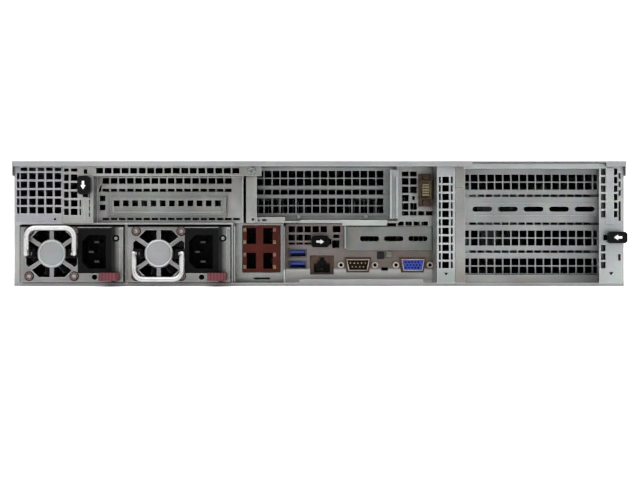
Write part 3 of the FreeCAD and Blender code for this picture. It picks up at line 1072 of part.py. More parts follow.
def psu_release(left):
    """Release tab: a plate to push sideways on a shank through the face plate."""
    x0 = left + RELEASE_X
    z0 = PSU_Z0 + RELEASE_Z
    y0 = REAR - PSU_FACE - CLEAR
    x1, foot, top, out = x0 + RELEASE_W, z0 + 1.0, z0 + RELEASE_H, y0 - RELEASE_OUT
    tab = block(x0, x1, out, y0, foot, foot + RELEASE_T)
    grip = block(x1 - RELEASE_T, x1, out, y0, foot, top)
    front = block(x0, x1, out, out + RELEASE_T, foot, top)
    sx = x0 + (RELEASE_W - SHANK[0]) / 2
    sz = foot + CLEAR / 2
    shank = block(sx, sx + SHANK[0], y0 - RELEASE_OUT / 2, REAR + SHANK[2], sz, sz + SHANK[1])
    return fused(tab, grip, front, shank)


# ================================================================ drives
def bay_corner(col, row):
    """Left foot of a bay's clear space: inner x and z."""
    return CAGE_X0 + col * COL_PITCH + CAGE_T / 2, CAGE_Z0 + row * ROW_PITCH


def drive_cage():
    """Cage of upright walls with ledges under a roof."""
    y0, y1 = CAGE_Y0, FRONT - EAR_THICK - STRIP_T
    half = COL_PITCH * BAY_COLS / 2 + CAGE_T / 2
    parts = [block(-half, half, y0, y1, CAGE_TOP - CAGE_T, CAGE_TOP)]
    for col in range(BAY_COLS + 1):
        x = CAGE_X0 + col * COL_PITCH
        parts.append(block(x - CAGE_T / 2, x + CAGE_T / 2, y0, y1, CAGE_Z0, CAGE_TOP))
        for row in range(BAY_ROWS):
            z = CAGE_Z0 + row * ROW_PITCH
            left = x - CAGE_T / 2 - (3.0 if col > 0 else 0)
            right = x + CAGE_T / 2 + (3.0 if col < BAY_COLS else 0)
            parts.append(block(left, right, y0, y1, z, z + LEDGE))
    return fused(*parts)


def carrier(col, row):
    """Drive carrier: bezel with a lever recess, two rails and a cross bar; the drive is its own solid."""
    x, z = bay_corner(col, row)
    x0 = x + CARRIER_GAP
    x1 = x0 + CARRIER_W
    z0 = z + LEDGE + CARRIER_GAP
    z1 = z0 + CARRIER_H
    y1 = FRONT
    yb = y1 - BEZEL_D
    bezel = block(x0, x1, yb, y1, z0, z1)
    px = lever_pivot(col)
    lever_end = px - LEVER_L
    recess = block(lever_end - 1.0, x1 - BEZEL_T, y1 - LEVER_RECESS, y1 + 1, z0 + BEZEL_T, z1 - BEZEL_T)
    bezel = bezel.cut(recess)
    vents = [block(lever_end + 6 + i * 6.4, lever_end + 10.6 + i * 6.4, yb - 1, y1, z0 + 5, z1 - 5)
             for i in range(12)]
    bezel = bezel.cut(vents)
    py = y1 - LEVER_T / 2 - LEVER_INSET
    pin = Part.makeCylinder(LEVER_PIN_R + PIN_GAP, CARRIER_H + 2, V(px, py, z0 - 1))
    pin_room = block(px - 3, px + 3, y1 - LEVER_T, y1, z0 + BEZEL_T, z1 - BEZEL_T)
    bezel = bezel.cut(pin).cut(pin_room)
    rails = [block(x0, x0 + CARRIER_RAIL, y1 - CARRIER_L, yb, z0, z0 + 20.0),
             block(x1 - CARRIER_RAIL, x1, y1 - CARRIER_L, yb, z0, z0 + 20.0),
             block(x0, x1, y1 - CARRIER_L, y1 - CARRIER_L + 1.6, z0, z0 + 3.0),
             block(x0, x1, yb - 8.0, yb, z0, z0 + 0.6)]
    frame = fused(bezel, *rails)
    dw, dl, dh = DRIVE
    xc = (x0 + x1) / 2
    drive = block(xc - dw / 2, xc + dw / 2, yb - 0.5 - dl, yb - 0.5, z0 + 0.7, z0 + 0.7 + dh)
    drive = drive.cut(block(xc - dw / 2 - 1, xc + dw / 2 + 1, yb - 8.5, yb, z0, z0 + 0.8))
    return group([frame, drive])


def lever_pivot(col):
    """X of a lever's pin."""
    return CAGE_X0 + (col + 1) * COL_PITCH - CAGE_T / 2 - CARRIER_GAP - BEZEL_T - LEVER_T / 2 - LEVER_SIDE_GAP


def tray_lever(col, row):
    """Ejector lever in the bezel's recess, on an upright pin at its +X end."""
    z = bay_corner(col, row)[1]
    z0 = z + LEDGE + CARRIER_GAP + BEZEL_T
    z1 = z + LEDGE + CARRIER_GAP + CARRIER_H - BEZEL_T
    px = lever_pivot(col)
    py = FRONT - LEVER_T / 2 - LEVER_INSET
    g = CLEAR
    bar = block(px - LEVER_L, px, py - LEVER_T / 2, py + LEVER_T / 2, z0 + g, z1 - g)
    eye = Part.makeCylinder(LEVER_T / 2, z1 - z0 - 2 * g, V(px, py, z0 + g))
    pin = Part.makeCylinder(LEVER_PIN_R, z1 - z0 + 2 * BEZEL_T - 0.4, V(px, py, z0 - BEZEL_T + 0.2))
    shape = fused(bar, eye, pin)
    h = (z1 - z0) / 2
    windows = [block(px - LEVER_L + 13 + i * 6.4, px - LEVER_L + 17.6 + i * 6.4, py - LEVER_T, py + LEVER_T,
                     z0 + h - 6.0, z0 + h + 6.0) for i in range(11)]
    return shape.cut(windows)


def backplane():
    """Upright board behind the drives, with a socket for each and cable headers on the back."""
    y1 = CAGE_Y0 - CLEAR
    holes = grid(CAGE_X0 + 26, CAGE_Z0 + 8.0, BAY_COLS, BAY_ROWS, COL_PITCH, ROW_PITCH, 30.0, 9.0)
    board = plate(CAGE_X0, -CAGE_X0, WALL, TRAY_TOP - BACKPLANE_DROP, y1 - BOARD_T, BOARD_T, holes)
    drive_back = FRONT - BEZEL_D - 0.5 - DRIVE[1]
    solids = [board]
    for col in range(BAY_COLS):
        for row in range(BAY_ROWS):
            x, z = bay_corner(col, row)
            x += COL_PITCH / 2 + 14
            z += LEDGE + CARRIER_GAP + 6.4
            solids.append(block(x, x + 34, y1, drive_back - 1.0, z, z + 6.0))
    for i in range(4):
        x = -150.0 + i * 96.0
        solids.append(block(x, x + 22, y1 - BOARD_T - 9, y1 - BOARD_T, 34, 44))
    return group(solids)


# ================================================================ front
def front_strip():
    """Panel over the drives: vents, lamp and port openings, and the power button's sleeve."""
    z0, z1 = CAGE_TOP, TRAY_TOP - CLEAR
    y = FRONT - EAR_THICK - STRIP_T
    holes = grid(FRONT_VENT_X, CAGE_TOP + FRONT_VENT_Z, FRONT_VENT_COLS, FRONT_VENT_ROWS, *FRONT_VENT)
    holes.append(disc(POWER_X, POWER_Z, POWER_R + CLEAR / 2))
    holes += [disc(FRONT_LAMP_X, CAGE_TOP + FRONT_LAMP_Z + i * FRONT_LAMP_PITCH, 1.2)
              for i in range(FRONT_LAMPS)]
    holes += [centred(x, FRONT_USB_Z, USB[0] + CLEAR, USB[1] + CLEAR) for x in FRONT_USB_X]
    sheet = plate(-STRIP_X, STRIP_X, z0, z1, y, STRIP_T, holes)
    sleeve = rod_y(POWER_X, POWER_Z, POWER_R + 2.0, y - POWER_SOCKET, y)
    sleeve = sleeve.cut(rod_y(POWER_X, POWER_Z, POWER_R + CLEAR / 2, y - POWER_SOCKET + 1.0, y + 1))
    foot = block(-STRIP_X, STRIP_X, y - 10, y, z0, z0 + STRIP_T)
    return fused(sheet, foot, sleeve)


def power_button():
    """Round power button in its sleeve."""
    y1 = FRONT - EAR_THICK + 0.6
    y0 = FRONT - EAR_THICK - STRIP_T - POWER_SOCKET + 1.0 + POWER_TRAVEL + CLEAR / 2
    body = rod_y(POWER_X, POWER_Z, POWER_R, y0, y1)
    ring = rod_y(POWER_X, POWER_Z, POWER_R - 1.4, y1 - 0.4, y1 + 1)
    return body.cut(ring)


def rack_ear(side):
    """Rack ear with two slots, a leg along the side wall and a square handle."""
    y0 = FRONT - EAR_THICK
    slot_x = side * RACK_X / 2
    mid_z = CHASSIS_H / 2
    inner = side * (TRAY_X - 2.0)
    x0, x1 = sorted((inner, side * EAR_W / 2))
    holes = [obround(slot_x, mid_z + s * RACK_Z / 2, RACK_SLOT[0], 2 * RACK_SLOT[1]) for s in (-1, 1)]
    z0 = (CHASSIS_H - EAR_H) / 2
    flange = plate(x0, x1, z0, z0 + EAR_H, y0, EAR_THICK, holes)
    a, b = sorted((side * TRAY_X, side * (TRAY_X + WALL)))
    leg = block(a, b, FRONT - EAR_LEG, y0, z0, CHASSIS_H - COVER_FLANGE - CLEAR)
    w, t, reach = GRIP
    gx = side * (EAR_W / 2 - GRIP_INSET - w / 2)
    y1 = FRONT + reach
    grip = block(gx - w / 2, gx + w / 2, FRONT, y1, GRIP_Z0, GRIP_Z1)
    grip = grip.makeFillet(2.0, [e for e in grip.Edges if abs(e.BoundBox.YMax - y1) < 0.01])
    gap = block(gx - w, gx + w, FRONT, y1 - t, GRIP_Z0 + t, GRIP_Z1 - t)
    return fused(flange, leg, grip.cut(gap))


# ================================================================ cooling
def fan_places():
    """X of each fan's centre."""
    return [(i - (FAN_COUNT - 1) / 2) * FAN_PITCH for i in range(FAN_COUNT)]


def fan_wall():
    """Sheet across the chassis with a round opening per fan, and the three fan frames as own solids."""
    openings = [disc(x, FAN_CZ, FAN_BORE) for x in fan_places()]
    y1 = FAN_Y1 + WALL
    sheet = plate(-IN_X + CLEAR, IN_X - CLEAR, WALL, FAN_WALL_H, FAN_Y1, WALL, openings)
    foot = block(-IN_X + CLEAR, IN_X - CLEAR, FAN_Y1, y1 + 12, WALL, 2 * WALL)
    return group([fused(sheet, foot)] + [fan_frame(x) for x in fan_places()])


def fan_frame(x):
    """Square fan frame with four struts and a motor disc that carries the rotor's pin."""
    y0 = FAN_Y1 - FAN_D
    half = FAN_SIZE / 2
    body = block(x - half, x + half, y0, FAN_Y1, FAN_CZ - half, FAN_CZ + half)
    body = body.cut(rod_y(x, FAN_CZ, FAN_BORE, y0 - 1, FAN_Y1 + 1))
    motor = rod_y(x, FAN_CZ, FAN_HUB, y0, y0 + STRUT)
    struts = []
    for angle in (45, 135, 225, 315):
        bar = block(FAN_HUB - 2, FAN_BORE + 1.5, y0, y0 + STRUT, -STRUT / 2, STRUT / 2)
        bar.rotate(V(0, 0, 0), V(0, 1, 0), angle)
        bar.translate(V(x, 0, FAN_CZ))
        struts.append(bar)
    pin = rod_y(x, FAN_CZ, FAN_PIN_R, y0, FAN_Y1 - 2)
    return fused(body, motor, pin, *struts)


def fan_rotor(x):
    """Rotor of a chassis fan."""
    y0 = FAN_Y1 - FAN_D + STRUT + BLADE_GAP
    depth = FAN_D - STRUT - BLADE_GAP - 2
    return rotor(x, FAN_CZ, y0, depth, FAN_HUB, FAN_BORE - BLADE_GAP, FAN_PIN_R + PIN_GAP)


# ================================================================ electronics
def motherboard():
    """Main board: an L round the power supplies, with processor sockets, chips and headers."""
    y0 = REAR + MID_DEEP + PANEL + CLEAR
    x_left = CAGE_X1 + CLEAR
    y_step = REAR + PSU_D + BAY_EXTRA + 34
    outline = [(x_left, y0), (MAIN_X, y0), (MAIN_X, MAIN_FRONT),
               (-MAIN_X, MAIN_FRONT), (-MAIN_X, y_step), (x_left, y_step)]
    face = Part.Face(loop([(x, y, MAIN_Z) for x, y in outline]))
    board = face.extrude(V(0, 0, MAIN_T))
    parts = [board]
    half = SOCKET_SIZE / 2
    for x in SINK_X:
        parts.append(block(x - half, x + half, SINK_Y - half, SINK_Y + half, MAIN_TOP, MAIN_TOP + SOCKET_T))
    for x, y, w, d, h in BOARD_PARTS:
        parts.append(block(x, x + w, y, y + d, MAIN_TOP, MAIN_TOP + h))
    return fused(*parts)


def heatsinks():
    """Two finned coolers on the processor sockets."""
    return group([heatsink(x) for x in SINK_X])


def heatsink(x):
    """A base block and fins along the airflow."""
    w, d = SINK
    z0 = MAIN_TOP + SOCKET_T
    y0, y1 = SINK_Y - d / 2, SINK_Y + d / 2
    base = block(x - w / 2, x + w / 2, y0, y1, z0, z0 + SINK_BASE)
    step = (w - FIN_T) / (FINS - 1)
    fins = [block(x - w / 2 + i * step, x - w / 2 + i * step + FIN_T, y0, y1, z0 + SINK_BASE, SINK_TOP)
            for i in range(FINS)]
    return fused(base, *fins)


def memory_banks():
    """X of the first socket of each bank."""
    return (-152.0, 4.0 - 3 * DIMM_PITCH / 2, 132.0)


def memory():
    """Memory modules standing in their sockets, four to a bank."""
    solids = []
    for bank in memory_banks():
        for i in range(4):
            x = bank + i * DIMM_PITCH
            w, d, h = DIMM_SLOT
            slot = block(x - w / 2, x + w / 2, SINK_Y - d / 2, SINK_Y + d / 2, MAIN_TOP, MAIN_TOP + h)
            z0 = MAIN_TOP + h - DIMM_SEAT
            w, d, h = DIMM
            module = block(x - w / 2, x + w / 2, SINK_Y - d / 2, SINK_Y + d / 2, z0, z0 + h)
            solids += [slot.cut(module), module]
    return group(solids)


def air_shroud():
    """Plastic duct from the fans over the processors: roof and two side skirts."""
    y1 = FAN_Y1 - FAN_D - CLEAR
    y0 = SINK_Y - SINK[1] / 2 - 18
    x0, x1 = SINK_X[0] - SINK[0] / 2 - 6, SINK_X[1] + SINK[0] / 2 + 6
    roof = block(x0, x1, y0, y1, SHROUD_TOP - SHROUD_T, SHROUD_TOP)
    skirts = [block(a, a + SHROUD_T, y0, y1, MAIN_TOP + CLEAR, SHROUD_TOP) for a in (x0, x1 - SHROUD_T)]
    rib = block((x0 + x1) / 2 - 20, (x0 + x1) / 2 + 20, y0 + 10, y1 - 10, SHROUD_TOP, SHROUD_TOP + 1.6)
    return fused(roof, *skirts, rib)


def riser_cards():
    """Upright riser boards with their card sockets, standing on edge sockets of the main board."""
    return group([riser(LEFT_X1 - PANEL - 3.4, -1, 60.0, 100.0, (LEFT_SLOT_Z,)),
                  riser(MID_X1 + 2.4, -1, 70.0, 100.0, (MID_SLOT_Z, MID_SLOT_Z + SLOT_PITCH - 6)),
                  riser(RIGHT_X0 + PANEL + 3.6, 1, 60.0, 150.0,
                        [RIGHT_SLOT_Z + i * SLOT_PITCH for i in range(1, RIGHT_SLOTS)])])


def riser(x, face, deep, length, slots):
    """One riser: a board facing -X or +X, its edge socket and a card socket per slot."""
    y0 = REAR + deep
    t = 1.6
    board = block(x, x + t, y0, y0 + length, MAIN_TOP + 3, CHASSIS_H - 8)
    edge = block(x - 3, x + t + 3, y0 + 6, y0 + length - 6, MAIN_TOP, MAIN_TOP + 8)
    parts = [board, edge]
    for z in slots:
        long, deep_x = CARD_SOCKET
        a, b = (x - deep_x, x) if face < 0 else (x + t, x + t + deep_x)
        parts.append(block(a, b, y0 + 8, y0 + 8 + min(long, length - 14), z - 7.4, z - 0.6))
    return fused(*parts)


def power_board():
    """Distribution board behind the supplies, with a socket per supply and a cable header."""
    y = REAR + PSU_D + BAY_EXTRA
    board = block(-IN_X + 4, CAGE_X1 - 2, y + CLEAR, y + CLEAR + BOARD_T, WALL, SHELF_TOP + 10)
    parts = [board]
    for left in PSU_LEFTS:
        parts.append(block(left + 10, left + PSU_W - 10, y - 3.6, y + CLEAR, PSU_Z0 + 4, PSU_Z0 + 14))
    parts.append(block(-160, -100, y + CLEAR + BOARD_T, y + CLEAR + BOARD_T + 14, 22, 34))
    return fused(*parts)


def screws():
    """Small pan-head screws on the rear sheets and the front cover, each a solid of its own."""
    solids = []
    y = REAR - PANEL
    z = LEFT_STRIP_Z + 3.5
    solids.append(fused(rod_y(-47.9, z, 3.0, y - 0.7, y), rod_y(-47.9, z, 2.0, y - 1.3, y)))
    for x in (-15.1, 34.8):
        solids.append(rod_y(x, 50.2, 1.5, REAR + MID_DEEP - PANEL - 1.2, REAR + MID_DEEP - PANEL))
    for s in (-1, 1):
        for yy in (SPLIT_Y + 14, FRONT - 22):
            solids.append(Part.makeCylinder(2.6, 0.8, V(s * 205.0, yy, CHASSIS_H)))
    return group(solids)


# ================================================================ nodes
def nodes():
    """Every node by name."""
    made = {
        "chassis_tray": chassis_tray(),
        "top_cover": top_cover(),
        "cover_button": cover_button(),
        "front_cover": front_cover(),
        "psu_cage": psu_cage(),
        "corner_vent_panel": corner_vent(),
        "left_slot_bracket": left_bracket(),
        "middle_slot_bracket": group([middle_bracket(), port_window()]),
        "rear_posts": rear_posts(),
        "right_slot_bracket": right_bracket(),
        "slot_blanks": slot_blanks(),
        "io_panel": io_panel(),
        "usb_lan_ports": group([*usb_ports(), lan_port()]),
        "indicator_lamps": lamps(),
        "dsub_ports": dsub_ports(),
        "quad_lan_module": quad_module(),
        "id_button": id_button(),
        "left_latch": latch(*LATCH_LEFT, REAR - PANEL, "z"),
        "middle_latch": latch(*LATCH_MIDDLE, REAR + MID_DEEP, "x"),
        "right_latch": latch(*LATCH_RIGHT, REAR, "x"),
        "drive_cage": drive_cage(),
        "drive_backplane": backplane(),
        "front_strip": front_strip(),
        "power_button": power_button(),
        "rack_ears": group([rack_ear(-1), rack_ear(1)]),
        "fan_wall": fan_wall(),
        "motherboard": motherboard(),
        "heatsinks": heatsinks(),
        "memory_modules": memory(),
        "air_shroud": air_shroud(),
        "riser_cards": riser_cards(),
        "power_board": power_board(),
        "screws": screws(),
    }
    for name, left, up in (("left", PSU_LEFTS[0], True), ("right", PSU_LEFTS[1], False)):
        made[f"{name}_psu"] = psu_case(left)
        made[f"{name}_psu_fan"] = psu_rotor(left)
        made[f"{name}_psu_handle"] = psu_handle(left, up)
        made[f"{name}_psu_release"] = psu_release(left)
    for i, x in enumerate(fan_places()):
        made[f"fan_rotor_{i + 1}"] = fan_rotor(x)
    for row in range(BAY_ROWS):
        for col in range(BAY_COLS):
            number = row * BAY_COLS + col + 1
            made[f"drive_carrier_{number}"] = carrier(col, row)
            made[f"carrier_lever_{number}"] = tray_lever(col, row)
    return made


def main():
    """Writes one STEP file per node."""
    os.makedirs("parts", exist_ok=True)
    for name, shape in nodes().items():
        bad = [s for s in shape.Solids if not s.isValid() or s.Volume <= 0]
        if bad or not shape.Solids:
            print("CHECK", name, len(shape.Solids), "solids,", len(bad), "not valid")
        shape.exportStep(f"parts/{name}.step")


main()
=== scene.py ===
import math

import bpy
import numpy as np
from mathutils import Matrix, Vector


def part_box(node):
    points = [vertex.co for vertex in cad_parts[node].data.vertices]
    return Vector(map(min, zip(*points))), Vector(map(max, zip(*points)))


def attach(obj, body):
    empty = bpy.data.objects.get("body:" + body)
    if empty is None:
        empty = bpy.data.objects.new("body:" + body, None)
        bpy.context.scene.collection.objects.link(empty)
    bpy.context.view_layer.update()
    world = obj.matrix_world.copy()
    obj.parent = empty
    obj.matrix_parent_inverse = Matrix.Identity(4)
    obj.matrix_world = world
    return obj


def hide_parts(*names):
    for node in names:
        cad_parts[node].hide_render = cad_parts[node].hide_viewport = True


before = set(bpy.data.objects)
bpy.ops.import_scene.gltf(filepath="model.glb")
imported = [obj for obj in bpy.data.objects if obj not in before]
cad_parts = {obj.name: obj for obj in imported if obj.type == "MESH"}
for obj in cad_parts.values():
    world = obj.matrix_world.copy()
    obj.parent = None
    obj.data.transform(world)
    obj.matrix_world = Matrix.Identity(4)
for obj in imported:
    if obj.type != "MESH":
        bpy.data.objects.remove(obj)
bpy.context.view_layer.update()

# Looks of a 2U rack server. Metres, X to the right seen from the rear, Y from rear to front, Z up.
# Sizes below are in millimetres, from the frame's origin: the centre of the chassis underside.
MM = 0.001


def low(node):
    """Lowest corner of a CAD node, in millimetres."""
    return np.array(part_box(node)[0]) / MM


def high(node):
    """Highest corner of a CAD node, in millimetres."""
    return np.array(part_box(node)[1]) / MM


REAR = low("chassis_tray")[1]              # rear face of the chassis
FRONT_PLANE = high("chassis_tray")[1] + 2  # front of the drive bezels
PANEL_Y = REAR + 30                        # recessed socket panel
SIDE_WALL = high("chassis_tray")[0] - 1.2  # inner face of the right side wall
PSU_FACE = 1.6                             # thickness of a supply's face plate
FACE_Y = REAR - PSU_FACE
PSU_FOOT = low("left_psu")[2]
PSU_TOP = PSU_FOOT + 40.1                  # top of a supply's case
PSU_WIDTH = high("left_psu")[0] - low("left_psu")[0]
PSU_LEFTS = (low("left_psu")[0], low("right_psu")[0])
FAN_INSET, FAN_RISE, FAN_BOLTS = 22.2, 20.4, 32.0
FAN_Z = PSU_FOOT + FAN_RISE
HUB_R = 10.2                               # hub disc of a supply's fan grille
INLET = (40.7, 24.0, 6.4, 32.4)            # inlet: from the left side, width, from the foot, height
BLADE_X, BLADE_SINK = 12.45, 1.0           # blades: from the inlet's left side, below its middle
BLADE_STEP = (4, 7)                        # middle blade to their left, outer ones up and down
BAIL_SPAN, BAIL_ARM, BAIL_BEND = 33.8, 18.2, 6.5
BAIL_WIRE, BAIL_PIN, BAIL_PIN_LENGTH = 1.8, 1.2, 3.8
BAIL_Y = FACE_Y - 4.2
LAN = (2.1, 14.3, 17.0, 13.6)              # management socket: x, z, width, height
SERIAL_X, VGA_X, DSUB_Z = 28.7, 69.2, 14.4
DSUB_W, DSUB_H, DSUB_SLANT = 16.9, 8.3, 1.5
JACK_SPREAD = 24.99
SERIAL_PITCH, VGA_PITCH = 2.74, 2.29       # contacts of the serial and display ports
USB_X, USB_Z = -15.9, (14.5, 23.1)
SIDE_PORT = (78.4, 69.6, 9.2, 14.2)        # upright port: x, z, width, height
QUAD_X, QUAD_Z = (-49.5, -37.3), (17.6, 35.8)
QUAD_PORT = (6.8, 11.6, 14.0)              # one socket: width, height, depth
QUAD_Y = REAR + 19                         # face of the four sockets
LAN_WIRES, LAN_PITCH = 8, 1.02             # contact wires of a network socket
MEMORY_BANKS, MEMORY_PITCH = (-152.0, -10.25, 132.0), 9.5
PSU_LAMP = (67.9, 31.3, 2.6)               # status lamp: from the left side, from the foot, radius
PSU_FOLD = 2.6                             # folded edge at the right side of a supply
HANDLE_EARS = (11.4, 18.4, 3.4)            # tabs of a handle's ears: from the fan's axis, to, half height


# ---------------------------------------------------------------- materials
WAVE_PERIOD = 0.314                        # period of a wave texture whose scale is one, in metres


def srgb(code):
    """An sRGB hex colour as linear RGBA."""
    part = np.array([int(code[i:i + 2], 16) for i in (1, 3, 5)]) / 255
    linear = np.where(part <= 0.04045, part / 12.92, ((part + 0.055) / 1.055) ** 2.4)
    return (*map(float, linear), 1.0)


def add(tree, kind, inputs=None, **settings):
    """Adds a node with its settings, and sets or links its inputs."""
    made = tree.nodes.new(kind)
    for name, value in settings.items():
        setattr(made, name, value)
    for key, value in (inputs or {}).items():
        if isinstance(value, bpy.types.NodeSocket):
            tree.links.new(value, made.inputs[key])
        else:
            made.inputs[key].default_value = value
    return made


def begin(name, **constants):
    """A material with its shader, whose constants are set on the shader's own sockets."""
    material = bpy.data.materials.new(name)
    material.use_nodes = True
    tree = material.node_tree
    shader = tree.nodes["Principled BSDF"]
    for key, value in constants.items():
        shader.inputs[key.replace("_", " ")].default_value = value
    return material, tree, shader


def position(tree):
    """Object coordinates, which are the frame's own."""
    return add(tree, "ShaderNodeTexCoord").outputs["Object"]


def grain(tree, size, stretch=(1, 1, 1), detail=2.0):
    """Noise whose features are size millimetres across, drawn out by the stretch along each axis."""
    scale = [1 / s for s in stretch]
    place = add(tree, "ShaderNodeMapping", {"Vector": position(tree), "Scale": scale})
    noise = add(tree, "ShaderNodeTexNoise", {"Vector": place.outputs[0], "Scale": 1 / (size * MM),
                                             "Detail": detail})
    return noise.outputs["Fac"]


def spread(tree, value, low_in, high_in, low_out, high_out):
    """Carries a value from one range to another."""
    made = add(tree, "ShaderNodeMapRange", {"Value": value, "From Min": low_in, "From Max": high_in,
                                            "To Min": low_out, "To Max": high_out})
    return made.outputs["Result"]


def blend(tree, share, first, second, mode="MIX"):
    """Mixes two colours, each a hex code or a socket."""
    made = add(tree, "ShaderNodeMix", data_type="RGBA", blend_type=mode)
    for key, value in ((0, share), (6, first), (7, second)):
        if isinstance(value, bpy.types.NodeSocket):
            tree.links.new(value, made.inputs[key])
        else:
            made.inputs[key].default_value = srgb(value) if isinstance(value, str) else value
    return made.outputs[2]


# Edge mask for both rubbing and a painted highlight on bends and cut edges.
def edge_wear_and_highlight(tree, radius):
    """How far a point is on an edge: one less the dot product of the face's normal and the rounded one."""
    rounded = add(tree, "ShaderNodeBevel", {"Radius": radius * MM}, samples=4).outputs[0]
    flat = add(tree, "ShaderNodeNewGeometry").outputs["Normal"]
    dot = add(tree, "ShaderNodeVectorMath", {0: rounded, 1: flat}, operation="DOT_PRODUCT").outputs["Value"]
    return rounded, spread(tree, dot, 0.995, 0.75, 0.0, 1.0)


def zinc_sheet(name, light, dark, highlight_and_wear, roughness=0.36, rolling=(30, 30, 1), edge=0.45, metallic=1.0):
    """Zinc-plated steel sheet, rolled and punched: clouded grey, fine rolling lines, bends and cuts
    brightened by rubbing and a painted highlight, and inner corners and seams darkened by painted shade."""
    material, tree, shader = begin(name, Metallic=metallic)
    cloud = spread(tree, grain(tree, 34, detail=3.0), 0.35, 0.65, 0.0, 1.0)
    lines = grain(tree, 0.7, rolling)
    rounded, wear_and_highlight = edge_wear_and_highlight(tree, edge)
    colour = blend(tree, cloud, light, dark)
    colour = blend(tree, spread(tree, lines, 0.3, 0.7, 0.0, 0.22), colour, dark)
    crystals = add(tree, "ShaderNodeTexVoronoi", {"Vector": position(tree), "Scale": 1 / (7 * MM)})
    colour = blend(tree, 0.06, colour, crystals.outputs["Color"], "SOFT_LIGHT")
    # Painted shade: inner corners, seams and recesses darkened towards #33312f by an ambient-occlusion node.
    painted_shade_openness = add(tree, "ShaderNodeAmbientOcclusion", {"Distance": 4 * MM}, samples=4).outputs["AO"]
    colour = blend(tree, spread(tree, painted_shade_openness, 0.25, 0.8, 0.7, 0.0), colour, "#33312f")
    # Rubbed edges and painted highlight: bends and cut edges blended towards the bright edge colour.
    colour = blend(tree, spread(tree, wear_and_highlight, 0, 1, 0, 0.75), colour, highlight_and_wear)
    tree.links.new(colour, shader.inputs["Base Color"])
    tree.links.new(spread(tree, lines, 0.25, 0.75, roughness - 0.07, roughness + 0.09),
                   shader.inputs["Roughness"])
    bump = add(tree, "ShaderNodeBump", {"Height": grain(tree, 2.6), "Distance": 0.03 * MM,
                                        "Strength": 0.35, "Normal": rounded})
    tree.links.new(bump.outputs[0], shader.inputs["Normal"])
    return material


# Used for painted shade and other tone changes blended into a base colour.
def blend_in_shade(material, share, shade):
    """Blends a shade into a material's colour by a share."""
    tree = material.node_tree
    base = tree.nodes["Principled BSDF"].inputs["Base Color"]
    tree.links.new(blend(tree, share, base.links[0].from_socket, shade), base)


def shaded(material, shade, **ramps):
    """Blends a shade into a material's colour inside a soft box: for each axis, where it begins, is full
    and ends, in millimetres; the shares of the axes are multiplied."""
    tree = material.node_tree
    axes = add(tree, "ShaderNodeSeparateXYZ", {0: position(tree)}).outputs
    share = 1.0
    for axis, (start, full, still, end) in ramps.items():
        for first, last, low_out, high_out in ((start, full, 0.0, 1.0), (still, end, 1.0, 0.0)):
            part = spread(tree, axes[axis], first * MM, last * MM, low_out, high_out)
            share = add(tree, "ShaderNodeMath", {0: part, 1: share}, operation="MULTIPLY").outputs[0]
    blend_in_shade(material, share, shade)


def painted_groove_shade(material, pitch, shade):
    """Painted shade of grooves across a grip: a sine wave along X with one groove every pitch millimetres."""
    tree = material.node_tree
    wave = add(tree, "ShaderNodeTexWave",
               {"Vector": position(tree), "Scale": WAVE_PERIOD / (pitch * MM), "Distortion": 0.0},
               bands_direction="X").outputs["Fac"]
    blend_in_shade(material, spread(tree, wave, 0.25, 0.6, 0.75, 0.0), shade)


def moulded(name, colour, pale, roughness=0.45, grit=0.45, edge=0.35, **constants):
    """Injection-moulded plastic: a spark-eroded grit, faint flow clouds and edges paler from rubbing and a
    painted highlight.
    """
    material, tree, shader = begin(name, **constants)
    rounded, wear_and_highlight = edge_wear_and_highlight(tree, edge)
    mixed = blend(tree, spread(tree, grain(tree, 12), 0.3, 0.7, 0.0, 0.35), colour, pale)
    mixed = blend(tree, spread(tree, wear_and_highlight, 0, 1, 0, 0.55), mixed, pale)
    tree.links.new(mixed, shader.inputs["Base Color"])
    tree.links.new(spread(tree, grain(tree, 3.0), 0.3, 0.7, roughness - 0.08, roughness + 0.08),
                   shader.inputs["Roughness"])
    bump = add(tree, "ShaderNodeBump", {"Height": grain(tree, grit), "Distance": 0.04 * MM,
                                        "Strength": 0.5, "Normal": rounded})
    tree.links.new(bump.outputs[0], shader.inputs["Normal"])
    return material


def plated(name, colour, tarnish, roughness=0.24, metallic=1.0):
    """Bright plating over a formed part: a smooth metal with faint stains and soft edges."""
    material, tree, shader = begin(name, Metallic=metallic)
    rounded, wear_and_highlight = edge_wear_and_highlight(tree, 0.3)
    mixed = blend(tree, spread(tree, grain(tree, 5, detail=4.0), 0.42, 0.75, 0.0, 0.8), colour, tarnish)
    mixed = blend(tree, spread(tree, wear_and_highlight, 0, 1, 0, 0.4), mixed, colour)
    tree.links.new(mixed, shader.inputs["Base Color"])
    tree.links.new(spread(tree, grain(tree, 1.6), 0.3, 0.7, roughness - 0.06, roughness + 0.1),
                   shader.inputs["Roughness"])
    tree.links.new(rounded, shader.inputs["Normal"])
    return material


